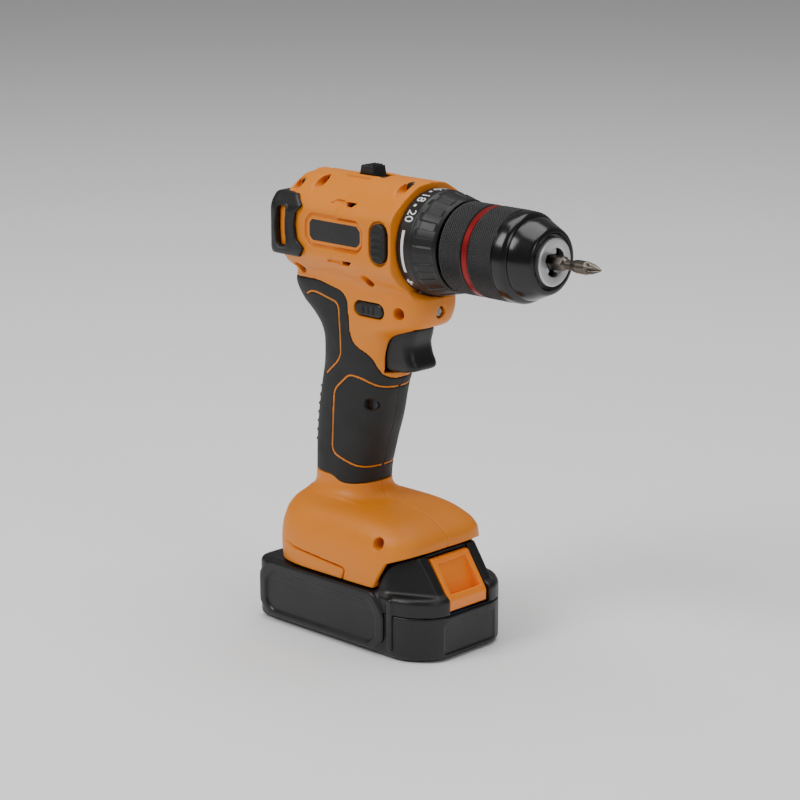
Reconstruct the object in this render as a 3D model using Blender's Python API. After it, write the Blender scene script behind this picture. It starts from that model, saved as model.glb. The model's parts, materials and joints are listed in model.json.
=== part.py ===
"""Compact cordless drill driver, as separate pieces in their own frame.

The origin is the centre of the battery's underside.  +X runs forward along the spindle,
+Y is the user's left and +Z is up.  Everything is in metres.
"""

import math

import bmesh
import bpy
from mathutils import Matrix, Vector

MM = 0.001

# Clearances
GAP = 0.3 * MM              # air between pieces that touch or are fastened together
RUN = 0.4 * MM              # air around pieces that turn or slide

# Walls
SHELL_WALL = 2.4 * MM       # moulded housing
BATTERY_WALL = 2.2 * MM     # battery case
CASE_WALL = 1.8 * MM        # gearbox case

# Heights, stacked from the ground to the spindle
BATTERY_DECK = 31.5 * MM    # battery top under the foot
FOOT_HEIGHT = 33.0 * MM     # foot, from the deck to the neck
GRIP_LENGTH = 67.5 * MM     # neck to the trigger guard
HEAD_DROP = 67.5 * MM       # trigger guard to the spindle axis
DECK_Z = BATTERY_DECK + 1.0 * MM
FOOT_TOP_Z = BATTERY_DECK + FOOT_HEIGHT
GUARD_Z = FOOT_TOP_Z + GRIP_LENGTH
SPINDLE_Z = GUARD_Z + HEAD_DROP

# Gear train: two equal planetary stages
MODULE = 0.9 * MM
SUN_TEETH = 12
PLANET_TEETH = 12
RING_TEETH = SUN_TEETH + 2 * PLANET_TEETH
PLANETS = 3
ADDENDUM = 0.8 * MM
DEDENDUM = 1.15 * MM
SUN_PITCH = MODULE * SUN_TEETH / 2
PLANET_PITCH = MODULE * PLANET_TEETH / 2
RING_PITCH = MODULE * RING_TEETH / 2
PLANET_ORBIT = SUN_PITCH + PLANET_PITCH
PLANET_WIDTH = 7.0 * MM
RING_WIDTH = 8.0 * MM
RING_WALL = 1.4 * MM
RING_OUTER = RING_PITCH + DEDENDUM + RING_WALL
CARRIER_RADIUS = RING_PITCH - ADDENDUM - 0.8 * MM
CARRIER_PLATE = 3.0 * MM
PIN_RADIUS = 1.5 * MM
SHIFT_TRAVEL = 6.0 * MM

# Gearbox case
CASE_INNER = RING_OUTER + GAP
CASE_OUTER = CASE_INNER + CASE_WALL

# Motor
STATOR_RADIUS = 18.5 * MM
STATOR_LENGTH = 19.5 * MM
ROTOR_RADIUS = 10.0 * MM
ROTOR_AIR = 0.6 * MM
SHAFT_RADIUS = 2.3 * MM
FAN_RADIUS = 15.5 * MM
FAN_BLADES = 7
FAN_DEPTH = 5.2 * MM
BEARING_RADIUS = 8.0 * MM
BEARING_WIDTH = 5.0 * MM

# Barrel of the housing
BARREL_ROOM = 3.35 * MM     # from the gearbox case to the inside of the shell
BARREL_HALF = CASE_OUTER + BARREL_ROOM + SHELL_WALL + 0.4 * MM
MOTOR_TOP = CASE_OUTER + 3.3 * MM + SHELL_WALL
GEAR_TOP = MOTOR_TOP + 0.4 * MM
BARREL_BOTTOM = 25.0 * MM
BARREL_REAR_X = -49.0 * MM
BARREL_FRONT_X = 31.6 * MM

# Stations along the spindle
PINION_X = -4.6 * MM
RING_1_X = -4.0 * MM
CARRIER_1_X = RING_1_X + RING_WIDTH + 0.5 * MM
SUN_2_X = CARRIER_1_X + CARRIER_PLATE + GAP
RING_2_X = RING_1_X + RING_WIDTH + 1.0 * MM
CARRIER_2_X = SUN_2_X + PLANET_WIDTH + 1.4 * MM
CASE_REAR_X = RING_1_X - 1.5 * MM
CASE_FRONT_X = RING_2_X + RING_WIDTH + SHIFT_TRAVEL + 3.0 * MM
CASE_FRONT_WALL = 3.0 * MM
SPINDLE_RADIUS = 6.0 * MM
SPINDLE_BEARING_WALL = 3.4 * MM
NOSE_INNER = SPINDLE_RADIUS + SPINDLE_BEARING_WALL + 2 * GAP
NOSE_WALL = 4.0 * MM
NOSE_RADIUS = NOSE_INNER + NOSE_WALL

# Torque collar and clutch
COLLAR_X = BARREL_FRONT_X + RUN
COLLAR_LENGTH = 22.2 * MM
CLUTCH_SPRING_WIRE = 1.6 * MM
CLUTCH_NUT_WALL = 5.9 * MM
COLLAR_WALL = 4.4 * MM
NUT_OUTER = NOSE_RADIUS + RUN + CLUTCH_NUT_WALL
COLLAR_INNER = NUT_OUTER + RUN
COLLAR_RADIUS = COLLAR_INNER + COLLAR_WALL
COLLAR_FRONT_X = COLLAR_X + COLLAR_LENGTH
NOSE_FRONT_X = COLLAR_FRONT_X - 1.0 * MM

# Keyless chuck
CHUCK_X = COLLAR_FRONT_X + 0.8 * MM
CHUCK_LENGTH = 51.6 * MM
CHUCK_BODY_RADIUS = 14.5 * MM
CHUCK_NOSE_RADIUS = 10.9 * MM
CHUCK_BORE = 6.85 * MM
SLEEVE_BORE = 18.3 * MM
SLEEVE_RADIUS = 21.6 * MM
CHUCK_NOSE_X = CHUCK_X + CHUCK_LENGTH
JAWS = 3
JAW_ANGLE = math.radians(15.0)
JAW_RADIUS = 3.2 * MM
JAW_LENGTH = 29.0 * MM
JAW_TIP_RADIUS = 5.0 * MM   # jaw axis at the jaw's front end
NUT_THREAD_GAP = 0.35 * MM
RED_RING_X = COLLAR_X + 37.8 * MM
RED_RING_WIDTH = 3.4 * MM

# Driver bit
HEX_FLAT = 6.35 * MM
BIT_REAR_X = CHUCK_NOSE_X - 30.0 * MM
BIT_LENGTH = 58.4 * MM

# Head of the grip: drop below the spindle axis, rear X, front X, half-width, squareness
HEAD_STATIONS = [
    (20.0, -47.0, 31.0, 18.4, 3.5),
    (27.0, -51.0, 38.5, 18.4, 3.8),
    (36.0, -46.0, 37.3, 18.0, 3.8),
    (41.5, -39.5, 33.0, 17.8, 3.6),
    (47.0, -35.0, 19.0, 17.4, 3.0),
    (55.0, -32.8, 14.0, 17.0, 2.7),
    (63.0, -33.2, 13.5, 16.8, 2.6),
]
# Lower grip: share of the grip's length above the foot, rear X, front X, half-width, squareness
GRIP_STATIONS = [
    (1.00, -34.0, 13.0, 16.6, 2.5),
    (0.88, -35.4, 10.4, 16.6, 2.5),
    (0.64, -38.1, 6.7, 16.5, 2.5),
    (0.42, -39.4, 2.0, 16.2, 2.5),
    (0.15, -39.7, -2.0, 16.2, 2.5),
    (0.00, -40.5, 0.0, 17.0, 2.5),
]
# Foot: share of the foot's height above the deck, rear X, front X, half-width
FOOT_STATIONS = [
    (1.04, -42.0, 9.0, 18.0),
    (0.97, -44.0, 26.0, 25.0),
    (0.80, -47.0, 37.0, 30.5),
    (0.55, -49.0, 42.5, 33.3),
    (0.25, -49.5, 44.0, 34.0),
    (0.03, -49.0, 44.0, 33.6),
]
SKIN_RECESS = 1.5 * MM      # depth of the recess that takes the rubber
RUBBER = 1.2 * MM           # thickness of the overmoulded rubber

# Trigger, direction selector, speed selector
TRIGGER_HALF = 9.6 * MM
TRIGGER_TRAVEL = 7.0 * MM
SELECTOR_X = 7.0 * MM
SELECTOR_DROP = 34.5 * MM
SELECTOR_LENGTH = 19.0 * MM
SELECTOR_HEIGHT = 7.0 * MM
SELECTOR_PROUD = 1.4 * MM
SPEED_X = -15.5 * MM
SPEED_LENGTH = 16.5 * MM
SPEED_HALF = 5.6 * MM
SPEED_CAP_INSET = 3.2 * MM  # the cap is this much shorter than its base at each end
SPEED_CAP_HALF = 4.3 * MM
SPEED_PROUD = 5.4 * MM
TRIGGER_REAR_X = 10.8 * MM
SWITCH_FRONT_X = TRIGGER_REAR_X - TRIGGER_TRAVEL - 0.5 * MM
LAMP_DROP = 33.7 * MM
LAMP_RADIUS = 2.4 * MM

# Battery
BATTERY_LENGTH = 116.0 * MM
BATTERY_HALF = 35.5 * MM
BATTERY_SPLIT_Z = 22.0 * MM
TONGUE_HALF = 22.0 * MM
TONGUE_RISE = 8.5 * MM
RAIL_HALF = 26.0 * MM
CELLS = 5
CELL_RADIUS = 9.2 * MM
CELL_LENGTH = 65.0 * MM
CELL_PITCH = 18.8 * MM
CELLS_X = -4.0 * MM
BUTTON_HALF = 13.5 * MM
BUTTON_TRAVEL = 3.0 * MM
BUTTON_WALL = 1.8 * MM      # around the pocket that the button moves in
HUMP_HALF = 27.0 * MM
HUMP_TOP_HALF = 22.5 * MM
BLADE_OFFSETS = (-10 * MM, 0.0, 10 * MM)

# Screws that close the housing
GRIP_SCREW_X = 3.0 * MM
GRIP_SCREW_Z = FOOT_TOP_Z + 0.77 * GRIP_LENGTH
SCREW_HEAD = 2.7 * MM
SCREW_SHANK = 1.4 * MM


def clear_scene():
    """Remove whatever the file opened with."""
    for old in list(bpy.data.objects):
        bpy.data.objects.remove(old, do_unlink=True)


def material(name, colour, roughness, metallic=0.0):
    """A Principled material with a plain colour."""
    made = bpy.data.materials.new(name)
    made.use_nodes = True
    shader = made.node_tree.nodes["Principled BSDF"]
    shader.inputs["Base Color"].default_value = (*colour, 1.0)
    shader.inputs["Roughness"].default_value = roughness
    shader.inputs["Metallic"].default_value = metallic
    made.diffuse_color = (*colour, 1.0)
    return made


def empty(name, location, parent=None):
    """An empty that holds the pieces of one axis."""
    holder = bpy.data.objects.new(name, None)
    holder.location = location
    holder.parent = parent
    bpy.context.scene.collection.objects.link(holder)
    return holder


def add_object(name, bm, finish, location=(0, 0, 0), parent=None):
    """Make an object from a bmesh, with its faces out and its round sides smooth."""
    bmesh.ops.recalc_face_normals(bm, faces=bm.faces)
    mesh = bpy.data.meshes.new(name)
    bm.to_mesh(mesh)
    bm.free()
    mesh.materials.append(finish)
    mesh.shade_smooth()
    mesh.set_sharp_from_angle(angle=math.radians(35))
    made = bpy.data.objects.new(name, mesh)
    made.location = location
    made.parent = parent
    bpy.context.scene.collection.objects.link(made)
    return made


def copy_object(source, name, location, rotation=(0, 0, 0)):
    """A second object on the same mesh, with the same parent."""
    twin = bpy.data.objects.new(name, source.data)
    twin.location = location
    twin.rotation_euler = rotation
    twin.parent = source.parent
    bpy.context.scene.collection.objects.link(twin)
    return twin


def as_tool(tool):
    """Mark an object as a cutter or a guide, which is no piece of the drill."""
    tool.hide_render = True
    tool.display_type = "WIRE"
    return tool


def combine(target, tool, operation="DIFFERENCE", solver="EXACT"):
    """Cut a tool out of a target, or join or intersect them."""
    as_tool(tool)
    step = target.modifiers.new(tool.name, "BOOLEAN")
    step.solver = solver
    step.operation = operation
    step.object = tool


def at(axis, u, v, w):
    """The point at (u, v) in the plane across an axis and w along it."""
    if axis == "X":
        return Vector((w, u, v))
    if axis == "Y":
        return Vector((u, w, v))
    return Vector((u, v, w))


def add_loft(bm, rings):
    """Join rings of equally many points side by side and cap both ends."""
    loops = [[bm.verts.new(point) for point in ring] for ring in rings]
    count = len(loops[0])
    for low, high in zip(loops, loops[1:]):
        for i in range(count):
            j = (i + 1) % count
            bm.faces.new((low[i], low[j], high[j], high[i]))
    bm.faces.new(loops[0])
    bm.faces.new(loops[-1])


def loft(name, rings, finish, location=(0, 0, 0), parent=None):
    """One closed body through a stack of rings."""
    bm = bmesh.new()
    add_loft(bm, rings)
    return add_object(name, bm, finish, location, parent)


def prism(name, outline, axis, low, high, finish, location=(0, 0, 0), parent=None):
    """An outline pushed along an axis from low to high."""
    rings = [[at(axis, u, v, w) for u, v in outline] for w in (low, high)]
    return loft(name, rings, finish, location, parent)


def plate(name, outline, holes, low, high, finish, location=(0, 0, 0), parent=None):
    """An outline in the YZ plane with holes, pushed along X from low to high."""
    bm = bmesh.new()
    for loop in [outline, *holes]:
        near = [bm.verts.new(at("X", u, v, low)) for u, v in loop]
        far = [bm.verts.new(at("X", u, v, high)) for u, v in loop]
        for i in range(len(loop)):
            j = (i + 1) % len(loop)
            bm.faces.new((near[i], near[j], far[j], far[i]))
    for level in (low, high):
        rim = [e for e in bm.edges if all(abs(v.co.x - level) < 1e-7 for v in e.verts)]
        bmesh.ops.triangle_fill(bm, use_beauty=True, use_dissolve=False, edges=rim)
    return add_object(name, bm, finish, location, parent)


def box(name, low, high, finish, location=(0, 0, 0), parent=None):
    """A block between two corners."""
    outline = [(low[0], low[1]), (high[0], low[1]), (high[0], high[1]), (low[0], high[1])]
    return prism(name, outline, "Z", low[2], high[2], finish, location, parent)


def circle(radius, points, centre=(0, 0), start=0.0):
    """Points on a circle."""
    turn = 2 * math.pi / points
    return [
        (centre[0] + radius * math.cos(start + i * turn), centre[1] + radius * math.sin(start + i * turn))
        for i in range(points)
    ]


def add_turned(bm, profile, points):
    """Turn a closed profile of (x, r) about the X axis."""
    loops = []
    for x, r in profile:
        if r < 1e-6:
            loops.append([bm.verts.new((x, 0, 0))] * points)
        else:
            loops.append([bm.verts.new((x, u, v)) for u, v in circle(r, points)])
    for low, high in zip(loops, loops[1:] + loops[:1]):
        if low[0] is low[1] and high[0] is high[1]:
            continue
        for i in range(points):
            j = (i + 1) % points
            corners = []
            for vert in (low[i], low[j], high[j], high[i]):
                if vert not in corners:
                    corners.append(vert)
            bm.faces.new(corners)


def turned(name, profile, points, finish, location=(0, 0, 0), parent=None):
    """A turned body about the X axis."""
    bm = bmesh.new()
    add_turned(bm, profile, points)
    return add_object(name, bm, finish, location, parent)


def tube_profile(x0, x1, inner, outer):
    """The profile of a plain ring."""
    return [(x0, inner), (x0, outer), (x1, outer), (x1, inner)]


def spin_offsets(radius, count, start=math.pi / 2):
    """Where planets, pins and jaws stand around the axis, the first one on top."""
    return circle(radius, count, start=start)


def oval(rear, front, half, power, points=20):
    """A rounded outline in the XY plane."""
    centre = (rear + front) / 2
    reach = (front - rear) / 2
    ring = []
    for i in range(points):
        angle = 2 * math.pi * i / points
        cosine, sine = math.cos(angle), math.sin(angle)
        x = centre + reach * math.copysign(abs(cosine) ** (2 / power), cosine)
        y = half * math.copysign(abs(sine) ** (2 / power), sine)
        ring.append((x, y))
    return ring


def rounded_rectangle(rear, front, half, rear_corner, front_corner, steps=4):
    """A rectangle in the XY plane with one radius at the front and one at the rear."""
    points = []
    corners = [
        (front - front_corner, half - front_corner, front_corner, 0),
        (rear + rear_corner, half - rear_corner, rear_corner, 90),
        (rear + rear_corner, -half + rear_corner, rear_corner, 180),
        (front - front_corner, -half + front_corner, front_corner, 270),
    ]
    for x, y, radius, start in corners:
        for i in range(steps + 1):
            angle = math.radians(start + 90 * i / steps)
            points.append((x + radius * math.cos(angle), y + radius * math.sin(angle)))
    return points


def barrel_ring(x, top, inset=0.0, scale=1.0):
    """The barrel's eight-sided section with softened corners, about the spindle axis."""
    half = BARREL_HALF - inset
    top = top - inset
    bottom = BARREL_BOTTOM - inset
    side = [
        (half - 18 * MM, top - 1.0 * MM),
        (half - 9.5 * MM, top - 6.0 * MM),
        (half - 2.5 * MM, 15 * MM),
        (half, 11 * MM),
        (half, -11 * MM),
        (half - 5.5 * MM, -18 * MM),
        (half - 15 * MM, -bottom + 1.2 * MM),
    ]
    mirrored = [(-y, z) for y, z in reversed(side)]
    ring = [(0, top), *side, (0, -bottom), *mirrored]
    return [Vector((x, y * scale, SPINDLE_Z + z * scale)) for y, z in ring]


def barrel_rings(grow=0.0, rear=BARREL_REAR_X, front=BARREL_FRONT_X):
    """The barrel's sections from its rounded rear end to the collar."""
    step_x = -5.5 * MM
    return [
        barrel_ring(rear, MOTOR_TOP, -grow, 0.80),
        barrel_ring(rear + 2.5 * MM, MOTOR_TOP, -grow, 0.93),
        barrel_ring(rear + 8.5 * MM, MOTOR_TOP, -grow),
        barrel_ring(step_x - 2.5 * MM, MOTOR_TOP, -grow),
        barrel_ring(step_x + 2.5 * MM, GEAR_TOP, -grow),
        barrel_ring(front, GEAR_TOP, -grow),
    ]


def grip_rings(grow):
    """The grip's level sections, from inside the barrel down into the foot."""
    rows = [(SPINDLE_Z - row[0] * MM, *row[1:]) for row in HEAD_STATIONS]
    rows += [(FOOT_TOP_Z + row[0] * GRIP_LENGTH, *row[1:]) for row in GRIP_STATIONS]
    rows.append((FOOT_TOP_Z - 6 * MM, -41.0, 2.0, 17.5, 2.5))
    return [
        [Vector((x, y, z)) for x, y in oval(rear * MM - grow, front * MM + grow, half * MM + grow, power)]
        for z, rear, front, half, power in rows
    ]


def foot_rings(inset, top_inset):
    """The foot's level sections, from the neck down to the battery deck."""
    return [
        [
            Vector((x, y, DECK_Z + share * FOOT_HEIGHT - top_inset))
            for x, y in oval(rear * MM + inset, front * MM - inset, half * MM - inset, 4.6)
        ]
        for share, rear, front, half in FOOT_STATIONS
    ]


def gear_outline(teeth, root, tip, start):
    """Straight-flanked teeth, with the first one pointing at the start angle."""
    pitch = 2 * math.pi / teeth
    wide, narrow = 0.30 * pitch, 0.12 * pitch
    points = []
    for i in range(teeth):
        centre = start + i * pitch
        for radius, angle in ((root, -wide), (tip, -narrow), (tip, narrow), (root, wide)):
            points.append((radius * math.cos(centre + angle), radius * math.sin(centre + angle)))
    return points


def coil(name, radius, wire, turns, length, axis, finish, location=(0, 0, 0), parent=None, points=10):
    """A helical spring with square wire, along an axis from 0 to its length."""
    rings = []
    rise = length - wire
    for i in range(turns * points + 1):
        angle = 2 * math.pi * i / points
        along = wire / 2 + rise * i / (turns * points)
        section = []
        for out, up in ((-1, -1), (1, -1), (1, 1), (-1, 1)):
            reach = radius + out * wire / 2
            section.append(at(axis, reach * math.cos(angle), reach * math.sin(angle), along + up * wire / 2))
        rings.append(section)
    return loft(name, rings, finish, location, parent)


def lead(name, points, radius, finish):
    """A wire bundle as a tube along a smooth curve through its points."""
    path = []
    for i in range(len(points) - 1):
        before = Vector(points[max(i - 1, 0)])
        here, there = Vector(points[i]), Vector(points[i + 1])
        after = Vector(points[min(i + 2, len(points) - 1)])
        for step in range(3):
            t = step / 3
            path.append(
                0.5
                * (
                    2 * here
                    + (there - before) * t
                    + (2 * before - 5 * here + 4 * there - after) * t * t
                    + (3 * here - before - 3 * there + after) * t * t * t
                )
            )
    path.append(Vector(points[-1]))
    rings = []
    for i, centre in enumerate(path):
        heading = (path[min(i + 1, len(path) - 1)] - path[max(i - 1, 0)]).normalized()
        side = heading.cross(Vector((0, 1, 0))).normalized()
        up = Vector((0, 1, 0))
        rings.append([centre + side * u + up * v for u, v in circle(radius, 6)])
    return loft(name, rings, finish)


def trim(bm, point, normal):
    """Cut away what lies past a plane and close the cut."""
    geometry = bm.verts[:] + bm.edges[:] + bm.faces[:]
    done = bmesh.ops.bisect_plane(
        bm, geom=geometry, plane_co=point, plane_no=normal, clear_outer=True, dist=1e-7
    )
    rim = [part for part in done["geom_cut"] if isinstance(part, bmesh.types.BMEdge)]
    bmesh.ops.edgenet_fill(bm, edges=rim)


class Finishes:
    """The plain materials of the pieces."""

    def __init__(self):
        self.yellow = material("amber_nylon", (0.80, 0.31, 0.012), 0.45)
        self.black = material("black_nylon", (0.015, 0.015, 0.016), 0.5)
        self.rubber = material("black_elastomer", (0.018, 0.018, 0.019), 0.75)
        self.orange = material("orange_acetal", (0.95, 0.24, 0.008), 0.35)
        self.red = material("red_anodised", (0.27, 0.012, 0.015), 0.35, 0.6)
        self.black_steel = material("black_oxide_steel", (0.03, 0.03, 0.032), 0.35, 0.9)
        self.steel = material("ground_steel", (0.55, 0.55, 0.56), 0.3, 1.0)
        self.gear_steel = material("sintered_steel", (0.25, 0.25, 0.26), 0.5, 1.0)
        self.magnet = material("nickel_plated_magnet", (0.45, 0.44, 0.42), 0.35, 1.0)
        self.copper = material("enamelled_copper", (0.55, 0.2, 0.08), 0.4, 0.8)
        self.zinc = material("die_cast_zinc", (0.42, 0.42, 0.44), 0.5, 1.0)
        self.board = material("green_circuit_board", (0.01, 0.12, 0.05), 0.5)
        self.cell = material("cell_sleeve", (0.02, 0.10, 0.35), 0.4)
        self.clear = material("clear_polycarbonate", (0.85, 0.87, 0.9), 0.1)
        self.wire = material("red_wire_insulation", (0.4, 0.02, 0.02), 0.5)


def shell_side(name, tools, finish, left):
    """One half of the housing: the joined outer forms less every hollow and hole.

    The exact solver leaves the long chain of cuts open, so these steps use the other one.
    """
    side = loft(name, barrel_rings(), finish)
    for tool in tools["joins"]:
        combine(side, tool, "UNION", "MANIFOLD")
    for tool in tools["cuts"]:
        combine(side, tool, "DIFFERENCE", "MANIFOLD")
    for tool in tools["lips"]:
        combine(side, tool, "UNION", "MANIFOLD")
    combine(side, tools["not_left" if left else "not_right"], "DIFFERENCE", "MANIFOLD")
    return side


def screw_rows():
    """Every housing screw: name, X, Z, where the head sits, where the tip ends (Y)."""
    tip = 8.0 * MM
    return [
        ("top_screw_rear", -42.0 * MM, SPINDLE_Z + 20.3 * MM, -12.0 * MM, tip),
        ("top_screw_middle", -29.0 * MM, SPINDLE_Z + 22.4 * MM, -7.0 * MM, tip),
        ("top_screw_front", 24.4 * MM, SPINDLE_Z + 25.1 * MM, -7.0 * MM, tip),
        ("rear_lower_screw", -38.5 * MM, SPINDLE_Z - 19.8 * MM, -15.0 * MM, tip),
        ("chin_screw", 25.5 * MM, SPINDLE_Z - 34.0 * MM, -10.0 * MM, tip),
        ("grip_screw", GRIP_SCREW_X, GRIP_SCREW_Z, -10.5 * MM, tip),
        ("foot_screw", 26.0 * MM, DECK_Z + 0.68 * FOOT_HEIGHT, -24.0 * MM, tip),
    ]


def screw_profile(head_y, tip_y, grow, outside):
    """A pan-head screw's profile along its axis; outside is how far the head's hole runs out."""
    head = 2.2 * MM
    return [
        (head_y - outside - grow, 0),
        (head_y - outside - grow, SCREW_HEAD + grow),
        (head_y + head + grow, SCREW_HEAD + grow),
        (head_y + head + grow, SCREW_SHANK + grow),
        (tip_y + grow, SCREW_SHANK + grow),
        (tip_y + grow, 0),
    ]


def add_along_y(bm, profile, points, x, z):
    """Turn a profile and lay it along Y through (x, z)."""
    part = bmesh.new()
    add_turned(part, profile, points)
    turn = Matrix.Translation((x, 0, z)) @ Matrix.Rotation(math.radians(90), 4, "Z")
    bmesh.ops.transform(part, matrix=turn, verts=part.verts)
    held = bpy.data.meshes.new("part")
    part.to_mesh(held)
    part.free()
    bm.from_mesh(held)
    bpy.data.meshes.remove(held)


def screw_tools(finish):
    """The bosses that the screws run in, and the stepped holes through them."""
    bosses, holes = bmesh.new(), bmesh.new()
    boss = tube_profile(-40 * MM, 40 * MM, 0, SCREW_HEAD + 0.9 * MM)
    for _, x, z, head_y, tip_y in screw_rows():
        add_along_y(bosses, boss, 8, x, z)
        add_along_y(holes, screw_profile(head_y, tip_y, GAP, 40 * MM), 8, x, z)
    return add_object("boss_guide", bosses, finish), add_object("screw_hole_cutter", holes, finish)


def rib_guide(finish, line):
    """Rings that the cavity leaves standing, which hold the motor and the gearbox."""
    bm = bmesh.new()
    ribs = [
        (-24.3 * MM, -22.7 * MM, STATOR_RADIUS),
        (-16.8 * MM, -15.2 * MM, STATOR_RADIUS),
        (CASE_FRONT_X - 4.3 * MM, CASE_FRONT_X - 2.3 * MM, CASE_OUTER),
    ]
    for x0, x1, held in ribs:
        add_turned(bm, tube_profile(x0, x1, held + GAP, BARREL_HALF + 20 * MM), 20)
    seat_x = BARREL_REAR_X - 1 * MM
    seat_end = BARREL_REAR_X + SHELL_WALL + BEARING_WIDTH - 0.5 * MM
    add_turned(bm, tube_profile(seat_x, seat_end, 0, BEARING_RADIUS + 2.5 * MM), 20)
    return add_object("rib_guide", bm, finish, parent=line)


def trigger_rings():
    """The trigger's level sections: rounded in front, with a hollow for the finger."""
    full = TRIGGER_HALF / MM
    rows = [
        (1.6, 17.0, 8.0),
        (3.0, 25.0, 9.0),
        (5.5, 28.7, full),
        (11.0, 26.4, full),
        (16.0, 25.4, full),
        (21.0, 26.6, full),
    ]
    rings = []
    for height, front, half in rows:
        front, half = front * MM, half * MM
        corner = min(half - 0.5 * MM, front - TRIGGER_REAR_X - 0.5 * MM)
        plan = [(TRIGGER_REAR_X, -half)]
        plan += [
            (
                front - corner + corner * math.cos(math.radians(angle)),
                math.copysign(half - corner, angle) + corner * math.sin(math.radians(angle)),
            )
            for angle in (-90, -65, -40, -15, 15, 40, 65, 90)
        ]
        plan.append((TRIGGER_REAR_X, half))
        rings.append([Vector((x, y, GUARD_Z + height * MM)) for x, y in plan])
    return rings


def stadium(length, height, steps=5):
    """A slot outline about the origin."""
    radius = height / 2
    points = []
    for side, start in ((1, -90), (-1, 90)):
        for i in range(steps + 1):
            angle = math.radians(start + 180 * i / steps)
            points.append(
                (side * (length / 2 - radius) + radius * math.cos(angle), radius * math.sin(angle))
            )
    return points


def shifted(outline, u, v):
    """An outline moved in its plane."""
    return [(a + u, b + v) for a, b in outline]


def grip_region(finish):
    """The block that bounds the rubber, from its stepped upper edge to the neck."""
    low = FOOT_TOP_Z + 10.5 * MM
    outline = [
        (-62 * MM, SPINDLE_Z - 26.6 * MM),
        (-28 * MM, SPINDLE_Z - 24.5 * MM),
        (-11 * MM, SPINDLE_Z - 28 * MM),
        (-7.5 * MM, SPINDLE_Z - 31.5 * MM),
        (-6.5 * MM, SPINDLE_Z - 49 * MM),
        (-4 * MM, SPINDLE_Z - 53.5 * MM),
        (5.5 * MM, SPINDLE_Z - 58.5 * MM),
        (9.5 * MM, GUARD_Z - 0.5 * MM),
        (14 * MM, GUARD_Z - 3.5 * MM),
        (40 * MM, GUARD_Z - 3.5 * MM),
        (40 * MM, low),
        (-62 * MM, low),
    ]
    return prism("rubber_region", outline, "Y", -30 * MM, 30 * MM, finish)


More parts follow.
